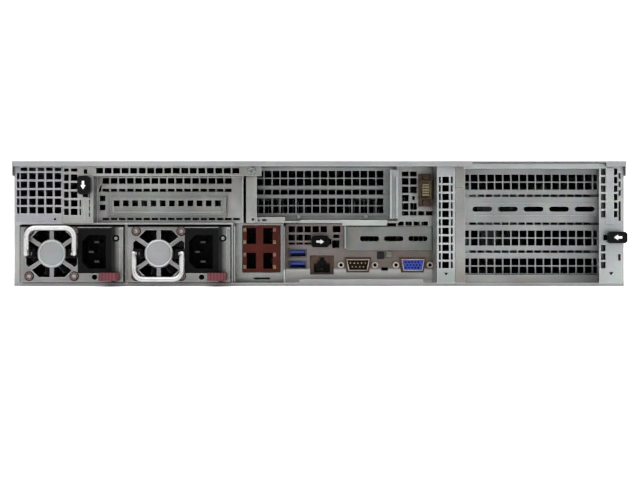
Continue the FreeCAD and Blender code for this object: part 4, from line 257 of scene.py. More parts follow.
def solder_mask(name, base, track):
    """Printed board: glossy solder mask with copper tracks under it and tinned pads."""
    material, tree, shader = begin(name, Roughness=0.32, Coat_Weight=0.35)
    place = position(tree)

    def cells(size):
        return add(tree, "ShaderNodeTexVoronoi", {"Vector": place, "Scale": 1 / (size * MM)},
                   distance="CHEBYCHEV").outputs

    def bands(axis):
        return add(tree, "ShaderNodeTexWave", {"Vector": place, "Scale": 1 / (9 * MM), "Distortion": 0.0},
                   bands_direction=axis).outputs["Fac"]

    pick = add(tree, "ShaderNodeSeparateColor", {"Color": cells(11)["Color"]}).outputs[0]
    turned = add(tree, "ShaderNodeMath", {0: pick, 1: 0.5}, operation="GREATER_THAN").outputs[0]
    tracks = add(tree, "ShaderNodeMix", {0: turned, 2: bands("X"), 3: bands("Y")}, data_type="FLOAT")
    colour = blend(tree, spread(tree, tracks.outputs[0], 0.55, 0.75, 0.0, 1.0), base, track)
    pads = spread(tree, cells(3.1)["Distance"], 0.13, 0.11, 0.0, 1.0)
    tree.links.new(blend(tree, pads, colour, "#c8c6b8"), shader.inputs["Base Color"])
    tree.links.new(spread(tree, pads, 0, 1, 0.0, 0.9), shader.inputs["Metallic"])
    return material


def paper_floor():
    """Matt white paper sweep: almost no grain, so that it stays a plain floor."""
    material, tree, shader = begin("white_paper_sweep", Roughness=0.9)
    tree.links.new(blend(tree, grain(tree, 60), "#fbfbfa", "#f6f6f5"), shader.inputs["Base Color"])
    return material


ZINC = zinc_sheet("zinc_plated_sheet", "#abadad", "#9a9a98", "#e4e6e8")
ZINC_WARM = zinc_sheet("zinc_plated_bracket", "#b0b2b0", "#8d8d89", "#e6e7e6", 0.34, edge=0.5)
ZINC_PALE = zinc_sheet("zinc_plated_vent_sheet", "#acadb1", "#8f9094", "#f0f0f3", 0.4)
POST_AND_HIGHLIGHT = zinc_sheet("zinc_post_and_painted_highlight", "#b6bbba", "#9fa4a3", "#f6f8f8", 0.4)
RECESS = zinc_sheet("zinc_plated_slot_frame", "#a2a3a1", "#8b8986", "#e2e2e0", 0.36)
SOCKET_PANEL = zinc_sheet("brown_tinted_socket_panel", "#867f7c", "#6c645f", "#cfccc8", 0.38)
BLANK = zinc_sheet("satin_blanking_plate", "#a2a5a5", "#8a8d8d", "#e0e4e4", 0.42, (1, 30, 30))
BLANK_DULL = zinc_sheet("dull_blanking_plate", "#919391", "#7b7c79", "#dfe1de", 0.44, (1, 30, 30), edge=0.8)
PSU_STEEL = zinc_sheet("nickelled_supply_case", "#939493", "#7a7a77", "#eeeeea", 0.32, edge=0.6)
HUB = zinc_sheet("stamped_hub_disc", "#8c8f8f", "#838686", "#b9bcbb", 0.5, metallic=0.35)
# Painted highlight: the hub rim in a lighter copy of the hub's sheet.
HUB_RIM_LIT = zinc_sheet("rolled_hub_rim_painted_highlight", "#b0b3b2", "#989c9b", "#eceeed", 0.42, metallic=0.6)
# The cover sheet in two tones, painted light and shade: the top darker, the rear lip lighter.
COVER = zinc_sheet("zinc_plated_cover", "#8b8d8d", "#838585", "#c6c8c8", 0.46, (30, 1, 30))
COVER_LIP_LIT = zinc_sheet("cover_lip_painted_light", "#a8aaaa", "#9fa1a1", "#dedfdf", 0.44, (30, 1, 30))
EAR = moulded("powder_coated_ear", "#26282b", "#3b3e42", 0.5, 0.6)
WIRE = plated("satin_nickel_wire", "#c3c4c2", "#aeafad", 0.32, 0.75)
SCREW = plated("zinc_plated_screw", "#a7a9ab", "#77746f")
SCREW_RING = moulded("oxidised_screw_rim", "#46261f", "#6b453b", 0.5)
SCREW_SEAT = moulded("shadowed_screw_seat", "#15110f", "#2a2320", 0.6, Specular_IOR_Level=0.2)
SHELL = plated("nickel_plated_shell", "#cfccc5", "#a0978a", 0.28)
SHELL_DIM = plated("tin_plated_shell", "#7f7f82", "#5f5c58", 0.34)
FLANGE = plated("brown_tinted_flange", "#5a4a41", "#3c302a", 0.36)
JACK = plated("nickel_plated_jack", "#c3b9ad", "#8f7f70", 0.3)
RIM_AND_GAP_SHADE = plated("brown_rim_and_painted_gap_shade", "#6f5348", "#4a352d", 0.34)
GOLD = plated("gold_plated_contact", "#bda973", "#8a7444", 0.24)
TIN = plated("tinned_blade", "#4c4a46", "#34322e", 0.4)
COPPER = moulded("copper_red_shield", "#4c1a12", "#662c20", 0.45, 0.7, Metallic=0.3, Specular_IOR_Level=0.2)
BLACK = moulded("black_moulded_abs", "#0d0d0f", "#242528", 0.45, Specular_IOR_Level=0.3)
# Matt black for housings, latches and sockets, also painted shade in the jack bores and on the handle ears.
MATT_BLACK_AND_SHADE = moulded("matt_black_and_painted_shade", "#030304", "#0d0d0e", 0.62, edge=0.5, Specular_IOR_Level=0.1)
BROWN = moulded("brown_black_insert", "#1d120e", "#35251f", 0.5, Specular_IOR_Level=0.2)
DARK = moulded("charcoal_glass_nylon", "#1d1f22", "#303337", 0.5)
FAN_BLACK = moulded("black_fan_blade", "#18191c", "#33363b", 0.35)
RED = moulded("red_moulded_release", "#5a121b", "#86424b", 0.42)
BLUE = moulded("blue_moulded_insert", "#1a3bb8", "#5577e0", 0.42)
BLUE_IN_SHADE = moulded("blue_insert_painted_shade", "#0c1f5e", "#1b3a8c", 0.45, Specular_IOR_Level=0.3)
CREAM = moulded("cream_moulded_core", "#a89a72", "#cfc39c", 0.42)
WHITE = moulded("white_pad_print", "#f2f2ee", "#ffffff", 0.5)
PUSH = moulded("grey_moulded_button", "#7d8388", "#a9afb4", 0.4)
AMBER = moulded("amber_lamp_lens", "#8c7a42", "#b8a977", 0.25, Transmission_Weight=0.2)
GREEN_LENS = moulded("green_lamp_lens", "#76836a", "#a2ad92", 0.25, Transmission_Weight=0.2)
PINK = moulded("pink_lamp_lens", "#8a5e56", "#b28a80", 0.25, Transmission_Weight=0.2)
GREY_LENS = moulded("frosted_lamp_lens", "#6d7172", "#94989a", 0.35, Transmission_Weight=0.1)
FR4 = solder_mask("green_solder_mask", "#12412c", "#1f6140")
CHIP = moulded("black_epoxy_chip", "#1a1b1d", "#3a3c3f", 0.5, 0.3)
FIN = zinc_sheet("extruded_aluminium_fin", "#a9acaf", "#909396", "#dfe1e3", 0.38, (1, 60, 1))
SHROUD = moulded("smoked_abs_duct", "#22252a", "#343941", 0.35)
PAPER = paper_floor()


def shade_materials():
    """Painted shade on the sheets where little light comes: beside the inlets, behind the handle ears, in the
    seam over the supplies and at the end of the right slots; painted shade of grooves across the red tabs;
    the socket panel paler near its foot."""
    for left in PSU_LEFTS:
        # Painted shade: the plate beside each inlet darkened towards the supply's folded edge.
        beside = left + INLET[0] + INLET[1]
        shaded(PSU_STEEL, "#2a2929", X=(beside - 0.2, beside, beside + 2, left + PSU_WIDTH - PSU_FOLD))
        # Painted shade: the face-plate tabs behind the handle ears.
        axis, (first, last, half) = left + FAN_INSET, HANDLE_EARS
        for x0, x1 in ((axis - last, axis - first), (axis + first, axis + last)):
            shaded(PSU_STEEL, "#1b1b1c", X=(x0 - 0.1, x0, x1, x1 + 0.1),
                   Z=(FAN_Z - half - 0.1, FAN_Z - half, FAN_Z + half, FAN_Z + half + 0.1))
    # Painted shade of grooves across the red release tabs.
    painted_groove_shade(RED, 2.3, "#2c0a0e")
    # Painted shade: a black line along the seam over the supplies.
    shaded(PSU_STEEL, "#111112", Y=(FACE_Y - 3, FACE_Y - 2.9, REAR + 2, REAR + 3),
           Z=(PSU_TOP - 0.9, PSU_TOP - 0.7, PSU_TOP + 1, PSU_TOP + 2))
    # Painted shade: the right slot recess darker towards its right end.
    shaded(RECESS, "#4f4f4e", X=(150, 198, 230, 240))
    shaded(SOCKET_PANEL, "#c6c5c2", Z=(-5, -4, 10.5, 12))


shade_materials()


# ---------------------------------------------------------------- dressing the CAD nodes
def dress(nodes, material):
    """Gives whole CAD nodes one material."""
    for name in nodes:
        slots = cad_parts[name].data.materials
        slots.clear()
        slots.append(material)


def centres(mesh):
    """Centre of every face, in millimetres."""
    found = np.zeros(len(mesh.polygons) * 3)
    mesh.polygons.foreach_get("center", found)
    return found.reshape(-1, 3) / MM


def paint(node, material, chosen):
    """Gives a CAD node's faces another material where chosen(centres) is true."""
    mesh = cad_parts[node].data
    index = np.zeros(len(mesh.polygons), np.int32)
    mesh.polygons.foreach_get("material_index", index)
    mesh.materials.append(material)
    index[chosen(centres(mesh))] = len(mesh.materials) - 1
    mesh.polygons.foreach_set("material_index", index)
    mesh.update()


def inside(x0, x1, y0, y1, z0, z1):
    """A test for faces whose centre lies in a box."""
    first, last = np.array([x0, y0, z0]), np.array([x1, y1, z1])
    return lambda c: np.all((c >= first) & (c <= last), axis=1)


def near(x, z, radius, y0, y1):
    """A test for faces round an axis along Y."""
    return lambda c: (np.hypot(c[:, 0] - x, c[:, 2] - z) <= radius) & (c[:, 1] >= y0) & (c[:, 1] <= y1)


DRIVES = range(1, 9)
SIDES = ("left", "right")

dress(("chassis_tray", "psu_cage", "fan_wall", "drive_cage", "quad_lan_module"), ZINC)
dress(("top_cover", "front_cover"), COVER)
dress(("corner_vent_panel",), ZINC_PALE)
dress(("left_slot_bracket", "middle_slot_bracket"), ZINC_WARM)
dress(("io_panel",), SOCKET_PANEL)
dress(("rear_posts",), POST_AND_HIGHLIGHT)
dress(("right_slot_bracket",), RECESS)
dress(("slot_blanks",), BLANK)
dress(("usb_lan_ports", "dsub_ports"), SHELL)
dress(("indicator_lamps",), AMBER)
dress(("left_latch", "middle_latch", "right_latch"), MATT_BLACK_AND_SHADE)
dress(("id_button",), BLACK)
dress(("cover_button", "power_button"), PUSH)
dress(("front_strip",), DARK)
dress(("rack_ears",), EAR)
dress(("drive_backplane", "motherboard", "riser_cards", "power_board", "memory_modules"), FR4)
dress(("heatsinks",), FIN)
dress(("air_shroud",), SHROUD)
dress(("screws",), SCREW)
for side in SIDES:
    dress((f"{side}_psu",), PSU_STEEL)
    dress((f"{side}_psu_fan",), FAN_BLACK)
    dress((f"{side}_psu_handle",), WIRE)
    dress((f"{side}_psu_release",), RED)
dress(("fan_rotor_1", "fan_rotor_2", "fan_rotor_3"), FAN_BLACK)
for number in DRIVES:
    dress((f"drive_carrier_{number}",), BLACK)
    dress((f"carrier_lever_{number}",), DARK)


def dress_supply(side, left):
    """Inlet, contact blades, lamp, hub, fan screws and the painted shade on the handle ears of one supply."""
    node = f"{side}_psu"
    x0, x1 = left + INLET[0], left + INLET[0] + INLET[1]
    z0, z1 = PSU_FOOT + INLET[2], PSU_FOOT + INLET[2] + INLET[3]
    paint(node, MATT_BLACK_AND_SHADE, inside(x0 - 0.02, x1 + 0.02, FACE_Y - 0.01, REAR + 20.1, z0 - 0.02, z1 + 0.02))
    blade_x, blade_z = x0 + BLADE_X, (z0 + z1) / 2 - BLADE_SINK
    aside, apart = BLADE_STEP
    for x, z in ((blade_x - aside, blade_z), (blade_x, blade_z + apart), (blade_x, blade_z - apart)):
        paint(node, TIN, inside(x - 2.05, x + 2.05, REAR + 3.9, REAR + 16.9, z - 1.05, z + 1.05))
    lamp_x, lamp_z, lamp_r = left + PSU_LAMP[0], PSU_FOOT + PSU_LAMP[1], PSU_LAMP[2]
    paint(node, MATT_BLACK_AND_SHADE, near(lamp_x, lamp_z, lamp_r + 0.7, FACE_Y + 0.1, REAR + 4.1))
    fan_x = left + FAN_INSET
    paint(node, HUB, near(fan_x, FAN_Z, HUB_R + 0.05, FACE_Y - 0.05, FACE_Y + 0.05))
    for i in (-1, 1):
        for j in (-1, 1):
            paint(node, SCREW, near(fan_x + i * FAN_BOLTS / 2, FAN_Z + j * FAN_BOLTS / 2, 2.65,
                                    FACE_Y - 1.0, FACE_Y - 0.05))
        # Painted shade: the handle ears painted black where their ends sit in shade.
        x0, x1 = sorted((fan_x + i * 20, fan_x + i * 11))
        paint(node, MATT_BLACK_AND_SHADE, inside(x0, x1, FACE_Y - 8, FACE_Y - 0.02, FAN_Z - 3.5, FAN_Z + 3.5))


def dress_frames():
    """Painted highlights on the bends of the sheet frames (cover lip, head band, rib, fin and sill), and the
    duller blanking plates."""
    # Painted light: the cover's rear lip in the lighter copy of the cover sheet.
    paint("top_cover", COVER_LIP_LIT, lambda c: c[:, 1] < REAR - 0.5)
    # Painted highlights: the head band, rib, fin and sill in the brighter zinc of the posts.
    paint("right_slot_bracket", POST_AND_HIGHLIGHT, inside(100, 206, REAR - 3, REAR + 2, 83.5, 90))
    paint("middle_slot_bracket", POST_AND_HIGHLIGHT, inside(50.7, 56.3, REAR - 2, REAR + 8, 47, 86))
    paint("io_panel", POST_AND_HIGHLIGHT, inside(17.9, 20.6, REAR - 3, PANEL_Y - 0.5, 8, 46))
    for node in ("io_panel", "middle_slot_bracket"):
        paint(node, POST_AND_HIGHLIGHT, inside(-13.4, 49, REAR - 3, REAR + 6, 42.5, 46.6))
    paint("slot_blanks", BLANK_DULL, lambda c: (c[:, 0] < -60) | ((c[:, 0] < 84) & (c[:, 2] < 44)))


def dress_usb_and_lan():
    """Tongues and inserts of the USB ports, flange and dark cavity of the management socket."""
    node, back = "usb_lan_ports", PANEL_Y + 20
    for z in USB_Z:
        paint(node, SHELL_DIM, inside(USB_X - 9, USB_X + 9, PANEL_Y - 3, back, z - 4.2, z + 4.2))
        paint(node, BLUE, inside(USB_X - 5.3, USB_X + 5.3, PANEL_Y - 1, back, z - 0.1, z + 1.9))
        # Painted shade: the insert below each tongue in a darker copy of the blue.
        paint(node, BLUE_IN_SHADE, inside(USB_X - 6.3, USB_X + 6.3, PANEL_Y - 0.5, back, z - 2.5, z - 0.1))
    x, z, w, h = LAN
    paint(node, FLANGE, inside(x - w / 2 - 1, x + w / 2 + 1, PANEL_Y - 3, back,
                               z - h / 2 - 1, z + h / 2 + 1))
    paint(node, BLACK, inside(x - 6, x + 6, PANEL_Y - 0.7, back, z - h / 2 + 1, z + h / 2 - 1))


def dress_screw_ports():
    """Flanges, inserts, pins and jack posts of the serial and display ports, and the small upright port."""
    node, insert = "dsub_ports", 3.7
    paint(node, FLANGE, inside(SERIAL_X - 16, VGA_X + 16, PANEL_Y - 1.3, PANEL_Y + 8, 4, 24))
    paint(node, BROWN, inside(SERIAL_X - 8, SERIAL_X + 8, PANEL_Y - 4.9, PANEL_Y + 0.6,
                              DSUB_Z - insert, DSUB_Z + insert))
    for z, count in ((DSUB_Z + 1.4, 5), (DSUB_Z - 1.4, 4)):
        for i in range(count):
            pin_x = SERIAL_X + (i - (count - 1) / 2) * SERIAL_PITCH
            paint(node, GOLD, near(pin_x, z, 0.5, PANEL_Y - 4.1, PANEL_Y + 0.4))
    paint(node, BLUE, inside(VGA_X - 8, VGA_X + 8, PANEL_Y - 4.9, PANEL_Y - 3.1,
                             DSUB_Z - insert, DSUB_Z + insert))
    for x in (SERIAL_X, VGA_X):
        for side in (-1, 1):
            jack_x = x + side * JACK_SPREAD / 2
            paint(node, JACK, near(jack_x, DSUB_Z, 2.4, PANEL_Y - 5.1, PANEL_Y + 0.1))
            # Painted shade: the bore of each jack post painted black.
            paint(node, MATT_BLACK_AND_SHADE, near(jack_x, DSUB_Z, 1.33, PANEL_Y - 4.95, PANEL_Y))
    x, z, w, h = SIDE_PORT
    paint(node, FLANGE, inside(x - w / 2 - 2, x + w / 2 + 2, REAR - 5, PANEL_Y + 30,
                               z - h / 2 - 6, z + h / 2 + 6))
    paint(node, CREAM, inside(x - w / 2 + 0.9, x + w / 2 - 0.9, PANEL_Y - 8, PANEL_Y,
                              z - h / 2 + 0.9, z + h / 2 - 0.9))


def dress_quad_module():
    """Copper-red shield of the four network sockets, their dark cavities and the card behind."""
    node = "quad_lan_module"
    right = QUAD_X[1] + 8.9
    paint(node, COPPER, inside(QUAD_X[0] - 6.4, right, QUAD_Y - 0.1, QUAD_Y + 24.1, 9.3, 43.3))
    w, h, d = QUAD_PORT
    for x in QUAD_X:
        for z in QUAD_Z:
            paint(node, MATT_BLACK_AND_SHADE, inside(x - w / 2 - 0.1, x + w / 2 + 0.1, QUAD_Y + 0.1, QUAD_Y + d + 0.1,
                                            z - h / 2 - 0.1, z + h / 2 + 0.1))
    paint(node, FR4, inside(right, QUAD_X[1] + 11.2, REAR + 21, REAR + 120, 9, 44))


def dress_lamps():
    """Green lamps between the ports and at the front, pink ones over three of the four sockets."""
    paint("indicator_lamps", GREEN_LENS, inside(45, 60, REAR, PANEL_Y + 5, 15, 26))
    paint("indicator_lamps", GREEN_LENS, inside(-190, -170, 300, 370, 60, 90))
    for x, z in ((QUAD_X[0], QUAD_Z[0]), (QUAD_X[1], QUAD_Z[0]), (QUAD_X[1], QUAD_Z[1])):
        paint("indicator_lamps", PINK, inside(x - 7, x + 7, QUAD_Y - 0.5, QUAD_Y + 0.5, z + 2, z + 7))


def dress_boards():
    """Chips, sockets and headers standing on the boards, the fan frames, and the drives in their carriers."""
    paint("motherboard", CHIP, lambda c: c[:, 2] > 7.55)
    paint("memory_modules", CHIP, lambda c: c[:, 2] < 15.55)
    paint("fan_wall", BLACK, lambda c: c[:, 1] < high("fan_rotor_1")[1] + 1.9)
    paint("riser_cards", CHIP, inside(-220, 220, REAR, REAR + 240, 7.4, 15.6))
    paint("drive_backplane", CHIP, lambda c: c[:, 1] > high("drive_backplane")[1] - 20)
    for number in DRIVES:
        node = f"drive_carrier_{number}"
        x0, x1 = low(node)[0] + 1.85, high(node)[0] - 1.85
        foot = low(node)[2] + 0.65
        paint(node, FIN, inside(x0, x1, 100, FRONT_PLANE - 16.4, foot, foot + 26))


for side, left in zip(SIDES, PSU_LEFTS):
    dress_supply(side, left)
dress_frames()
dress_usb_and_lan()
dress_screw_ports()
dress_quad_module()
dress_lamps()
dress_boards()


# ---------------------------------------------------------------- shapes
def piece(name, body, material, shapes, smooth=False):
    """One object from several (points in millimetres, faces) shapes, riding on a body."""
    count, points, faces = 0, [], []
    for corners, loops in shapes:
        points.append(corners)
        faces += [[count + i for i in face] for face in loops]
        count += len(corners)
    mesh = bpy.data.meshes.new(name)
    mesh.from_pydata(np.concatenate(points) * MM, [], faces)
    mesh.polygons.foreach_set("use_smooth", [smooth] * len(faces))
    mesh.materials.append(material)
    mesh.update()
    made = bpy.data.objects.new(name, mesh)
    bpy.context.scene.collection.objects.link(made)
    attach(made, body)
    return made


def grid_faces(rows, columns, closed=True, looped=False):
    """Quads of a grid of points, row by row; closed joins each row's ends, and looped joins the last row
    to the first."""
    i = np.arange(rows if looped else rows - 1)[:, None]
    j = np.arange(columns if closed else columns - 1)[None]
    k = (j + 1) % columns
    m = (i + 1) % rows
    quads = np.stack([i * columns + j, i * columns + k, m * columns + k, m * columns + j], -1)
    return quads.reshape(-1, 4).tolist()


def capped(rows, sides):
    """Quads between rings of points, with a face over the first and the last ring."""
    last = (rows - 1) * sides
    return grid_faces(rows, sides) + [list(range(sides))[::-1], [last + i for i in range(sides)]]


def tube(path, radius, sides=16):
    """A round bar: the ring p(s) + r (cos a n + sin a b) along the path, with domed ends."""
    path = np.asarray(path, float)
    step = np.gradient(path, axis=0)
    tangent = step / np.linalg.norm(step, axis=1)[:, None]
    b = np.tile([0.0, 1.0, 0.0], (len(path), 1))
    n = np.cross(b, tangent)
    dome = np.linspace(0, math.pi / 2, 5)[:-1]
    swell = np.concatenate([np.sin(dome), np.ones(len(path)), np.sin(dome)[::-1]]) * radius
    reach = np.concatenate([-np.cos(dome), np.zeros(len(path)), np.cos(dome)[::-1]]) * radius
    index = np.concatenate([np.zeros(4, int), np.arange(len(path)), np.full(4, len(path) - 1)])
    swell[0] = swell[-1] = radius * 0.05
    angle = np.arange(sides) * 2 * math.pi / sides
    middle = path[index] + tangent[index] * reach[:, None]
    ring = (n[index][:, None] * np.cos(angle)[None, :, None]
            + b[index][:, None] * np.sin(angle)[None, :, None])
    points = middle[:, None] + ring * swell[:, None, None]
    return points.reshape(-1, 3), capped(len(index), sides)


def lathe(profile, x, z, sides, hollow=False):
    """A turned part: the profile of (radius, y) carried round the axis along Y, as (x + r cos a, y,
    z + r sin a). A hollow one is a ring, whose profile runs back into its first point."""
    radius, y = np.asarray(profile, float).T
    angle = np.arange(sides) * 2 * math.pi / sides
    points = np.stack([x + radius[:, None] * np.cos(angle), np.repeat(y[:, None], sides, 1),
                       z + radius[:, None] * np.sin(angle)], -1)
    rows = len(radius)
    faces = grid_faces(rows, sides, looped=True) if hollow else capped(rows, sides)
    return points.reshape(-1, 3), [face[::-1] for face in faces]


def upright(profile, sides):
    """A turned part standing up: the profile of (radius, z) carried round Z, as (r cos a, r sin a, z)."""
    radius, height = np.asarray(profile, float).T
    angle = np.arange(sides) * 2 * math.pi / sides
    points = np.stack([radius[:, None] * np.cos(angle), radius[:, None] * np.sin(angle),
                       np.repeat(height[:, None], sides, 1)], -1)
    return points.reshape(-1, 3), capped(len(radius), sides)


def raised(outline, y, rise, soft=0.25):
    """A flat mark standing out towards -Y: the outline (x, z), then the same drawn in by soft at the top."""
    edge = np.asarray(outline, float)
    centre = edge.mean(0)
    reach = np.linalg.norm(edge - centre, axis=1)[:, None]
    inner = centre + (edge - centre) * (1 - soft / reach)
    count = len(edge)
    rings = [(edge, y), (edge, y - rise * 0.6), (inner, y - rise)]
    points = np.concatenate([np.stack([ring[:, 0], np.full(count, level), ring[:, 1]], 1)
                             for ring, level in rings])
    return points, capped(3, count)


def copies(shape, places):
    """The shape at each of the places, by adding each place to its points."""
    points, faces = shape
    places = np.asarray(places, float)
    count = len(points)
    moved = (points[None] + places[:, None]).reshape(-1, 3)
    return moved, [[k * count + i for i in face] for k in range(len(places)) for face in faces]


def cuboid(x0, x1, y0, y1, z0, z1, round_off=0.15):
    """A small block with its top and bottom drawn in: four rings of four corners."""
    r = round_off
    rings = [(z0, r), (z0 + r, 0), (z1 - r, 0), (z1, r)]
    points = np.array([[(x0 + i, y0 + i, z), (x1 - i, y0 + i, z), (x1 - i, y1 - i, z), (x0 + i, y1 - i, z)]
                       for z, i in rings], float).reshape(-1, 3)
    return points, capped(4, 4)


# ---------------------------------------------------------------- new pieces
def bail_path(x, z, up):
    """Centre line of a bail handle: up one arm, round two quarter circles and down the other."""
    bend, foot = BAIL_BEND, BAIL_ARM - BAIL_BEND
    a = np.linspace(0, math.pi / 2, 9)[1:]
    side_x = np.concatenate([np.full(6, -BAIL_SPAN / 2), -BAIL_SPAN / 2 + bend * (1 - np.cos(a))])
    side_z = np.concatenate([np.linspace(0, foot, 6), foot + bend * np.sin(a)])
    whole_x = np.concatenate([side_x, -side_x[::-1]])
    whole_z = np.concatenate([side_z, side_z[::-1]]) * (1 if up else -1)
    return np.stack([x + whole_x, np.full(len(whole_x), BAIL_Y), z + whole_z], 1)


def bail_handle(side, left, up):
    """Wire bail for the CAD handle: a tube along its path and two inward pins, plain cylinders along X."""
    x, end, sides = left + FAN_INSET, BAIL_SPAN / 2, 12
    shapes = [tube(bail_path(x, FAN_Z, up), BAIL_WIRE)]
    angle = np.arange(sides) * math.pi / 6
    for s in (-1, 1):
        along = x + s * np.array([end - BAIL_PIN_LENGTH, end])
        points = np.stack([np.repeat(along[:, None], sides, 1),
                           np.tile(BAIL_Y + BAIL_PIN * np.cos(angle), (2, 1)),
                           np.tile(FAN_Z + BAIL_PIN * np.sin(angle), (2, 1))], -1)
        shapes.append((points.reshape(-1, 3), capped(2, sides)))
    made = piece(f"{side}_supply_bail", f"{side}_psu_handle", WIRE, shapes, True)
    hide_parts(f"{side}_psu_handle")


def grille_hub(side, left):
    """Hub disc of the fan grille: a flat disc turned from its radius, and round it a rolled rim in a lighter
    copy of the sheet, a painted highlight, whose height over the plate is half a sine wave."""
    body, x = f"{side}_psu", left + FAN_INSET
    disc = [(0.1, FACE_Y - 0.3), (0.8 * HUB_R, FACE_Y - 0.3), (0.82 * HUB_R, FACE_Y - 0.1)]
    piece(f"{side}_supply_hub", body, HUB, [lathe(disc, x, FAN_Z, 48)])
    wave = np.linspace(0, math.pi, 9)
    r = np.linspace(0.8, 0.99, 9)
    rim = np.stack([r * HUB_R, FACE_Y - 0.05 - 0.75 * np.sin(wave)], 1)
    piece(f"{side}_supply_hub_rim", body, HUB_RIM_LIT, [lathe(rim, x, FAN_Z, 48, True)], True)


def screw_seats(side, left):
    """Painted shade round the fan screws and brown rims on their heads: flat rings turned from four points.
    """
    body, y, top = f"{side}_psu", FACE_Y, FACE_Y - 0.9
    seat = [(2.6, y - 0.02), (2.6, y - 0.5), (3.2, y - 0.4), (3.5, y - 0.02)]
    rim = [(1.3, top + 0.05), (1.4, top - 0.12), (2.3, top - 0.12), (2.6, top + 0.05)]
    half = FAN_BOLTS / 2
    places = [(left + FAN_INSET + i * half, 0, FAN_Z + j * half) for i in (-1, 1) for j in (-1, 1)]
    for name, profile, material in (("seats", seat, SCREW_SEAT), ("rims", rim, SCREW_RING)):
        rings = copies(lathe(profile, 0, 0, 24, True), places)
        piece(f"{side}_fan_screw_{name}", body, material, [rings], True)


def status_lens(side, left):
    """Domed lens of a supply's lamp in its dark ring: half an ellipsoid, r = 1.2 sin a, 0.5 cos a high."""
    a = np.linspace(0.05, math.pi / 2, 7)
    dome = np.stack([1.2 * np.sin(a), FACE_Y + 0.38 - 0.5 * np.cos(a)], 1)
    piece(f"{side}_status_lens", f"{side}_psu", GREY_LENS,
          [lathe(dome, left + PSU_LAMP[0], PSU_FOOT + PSU_LAMP[1], 24)], True)


def port_rims_and_gap_shade():
    """Brown flange edges with the gap shade painted in, round the serial and display shells: flat bands whose
    four corners follow the D.
    """
    shapes = []
    rings = [(0.05, PANEL_Y - 0.02), (0.05, PANEL_Y - 0.5), (1.1, PANEL_Y - 0.5), (1.5, PANEL_Y - 0.02)]
    for x in (SERIAL_X, VGA_X):
        corners = [[(x + i * (DSUB_W / 2 + reach - (DSUB_SLANT if j < 0 else 0)), y,
                     DSUB_Z + j * (DSUB_H / 2 + reach))
                    for i, j in ((-1, -1), (1, -1), (1, 1), (-1, 1))] for reach, y in rings]
        shapes.append((np.array(corners, float).reshape(-1, 3), grid_faces(4, 4, looped=True)))
    piece("port_rims_and_gap_shade", "chassis", RIM_AND_GAP_SHADE, shapes)


def arrow(x, z, turn):
    """Outline of a plain arrow, turned by so many quarter turns from pointing along +X."""
    shape = np.array([(-2.8, -0.8), (0.2, -0.8), (0.2, -1.8), (3.0, 0.0),
                      (0.2, 1.8), (0.2, 0.8), (-2.8, 0.8)])
    c, s = math.cos(turn * math.pi / 2), math.sin(turn * math.pi / 2)
    return shape @ np.array([[c, s], [-s, c]]) + (x, z)


def latch_arrow(name, turn):
    """White arrow printed on a latch's pad: a plain outline raised by 0.12 mm."""
    first, last = low(name), high(name)
    x, z = (first[0] + last[0]) / 2, (first[2] + last[2]) / 2
    piece(f"{name}_arrow", name, WHITE, [raised(arrow(x, z, turn), first[1], 0.12)])


def display_insert():
    """Fifteen sockets in the display port's insert: three rows of five short dark sleeves."""
    y = PANEL_Y - 3.2
    sleeve = lathe([(0.2, y), (0.42, y - 0.04), (0.62, y - 0.14), (0.62, y - 0.01)], 0, 0, 12)
    places = [(VGA_X + (i - 2) * VGA_PITCH + shift, 0, DSUB_Z + row)
              for row, shift in ((2.0, -0.5), (0, 0.6), (-2.0, -0.5)) for i in range(5)]
    piece("display_sockets", "chassis", MATT_BLACK_AND_SHADE, [copies(sleeve, places)], True)


def network_contacts():
    """Springy gold wires in each network socket: thin tubes that bow by a sine along the socket's depth."""
    depth = np.linspace(0, 1, 8)
    bow = np.sin(depth * 2.2)
    offsets = [(i - (LAN_WIRES - 1) / 2) * LAN_PITCH for i in range(LAN_WIRES)]
    x, z = LAN[:2]
    paths = [(np.full(8, x + offset), PANEL_Y + 1.2 + depth * 9, z - 3.2 + 3.4 * bow) for offset in offsets]
    for px in QUAD_X:
        lean = 1 if px > QUAD_X[0] else -1
        paths += [(px + lean * (2.6 - 2.4 * bow), QUAD_Y + 2.0 + depth * 9, np.full(8, pz + offset))
                  for pz in QUAD_Z for offset in offsets]
    wires = [tube(np.stack(path, 1), 0.2, 6) for path in paths]
    piece("network_contacts", "chassis", GOLD, wires, True)


def side_port_contacts():
    """Dark contact strips in the upright port: six thin bars with drawn-in ends across its core."""
    x, z, w = SIDE_PORT[:3]
    face = PANEL_Y - 6.6
    bar = cuboid(-w / 2 + 2.2, w / 2 - 2.2, -0.3, 0.0, -0.35, 0.35, 0.1)
    places = [(x, face, z + (i - 2.5) * 1.9) for i in range(6)]
    piece("side_port_contacts", "chassis", BROWN, [copies(bar, places)])


def cover_rivets():
    """Flush rivets along the covers' flanges and over the drive cage: low domes, r = 2.4 cos a and
    z = 0.5 sin a. Those of the main cover lift with it."""
    top = high("top_cover")[2]
    a = np.linspace(0, math.pi / 2, 6)
    dome = np.stack([2.4 * np.cos(a), 0.5 * np.sin(a)], 1)
    dome[-1, 0] = 0.05
    rivet = upright(dome, 16)
    for name, body, rows in (("main_cover_rivets", "top_cover", (REAR + 16, -120, 120)),
                             ("front_cover_rivets", "chassis", (170, 330))):
        places = [(x, y, top) for x in (-206, -100, 100, 206) for y in rows]
        piece(name, body, COVER, [copies(rivet, places)], True)


def slot_films():
    """Black insulating films inside the side walls, over the middle rail slots: thin eased blocks."""
    film = cuboid(-0.12, 0.12, -13, 13, -8, 8, 0.05)
    places = [(side * (SIDE_WALL - 0.15), y, 47.5) for side in (-1, 1) for y in (-83, 127)]
    piece("rail_slot_films", "chassis", CHIP, [copies(film, places)])


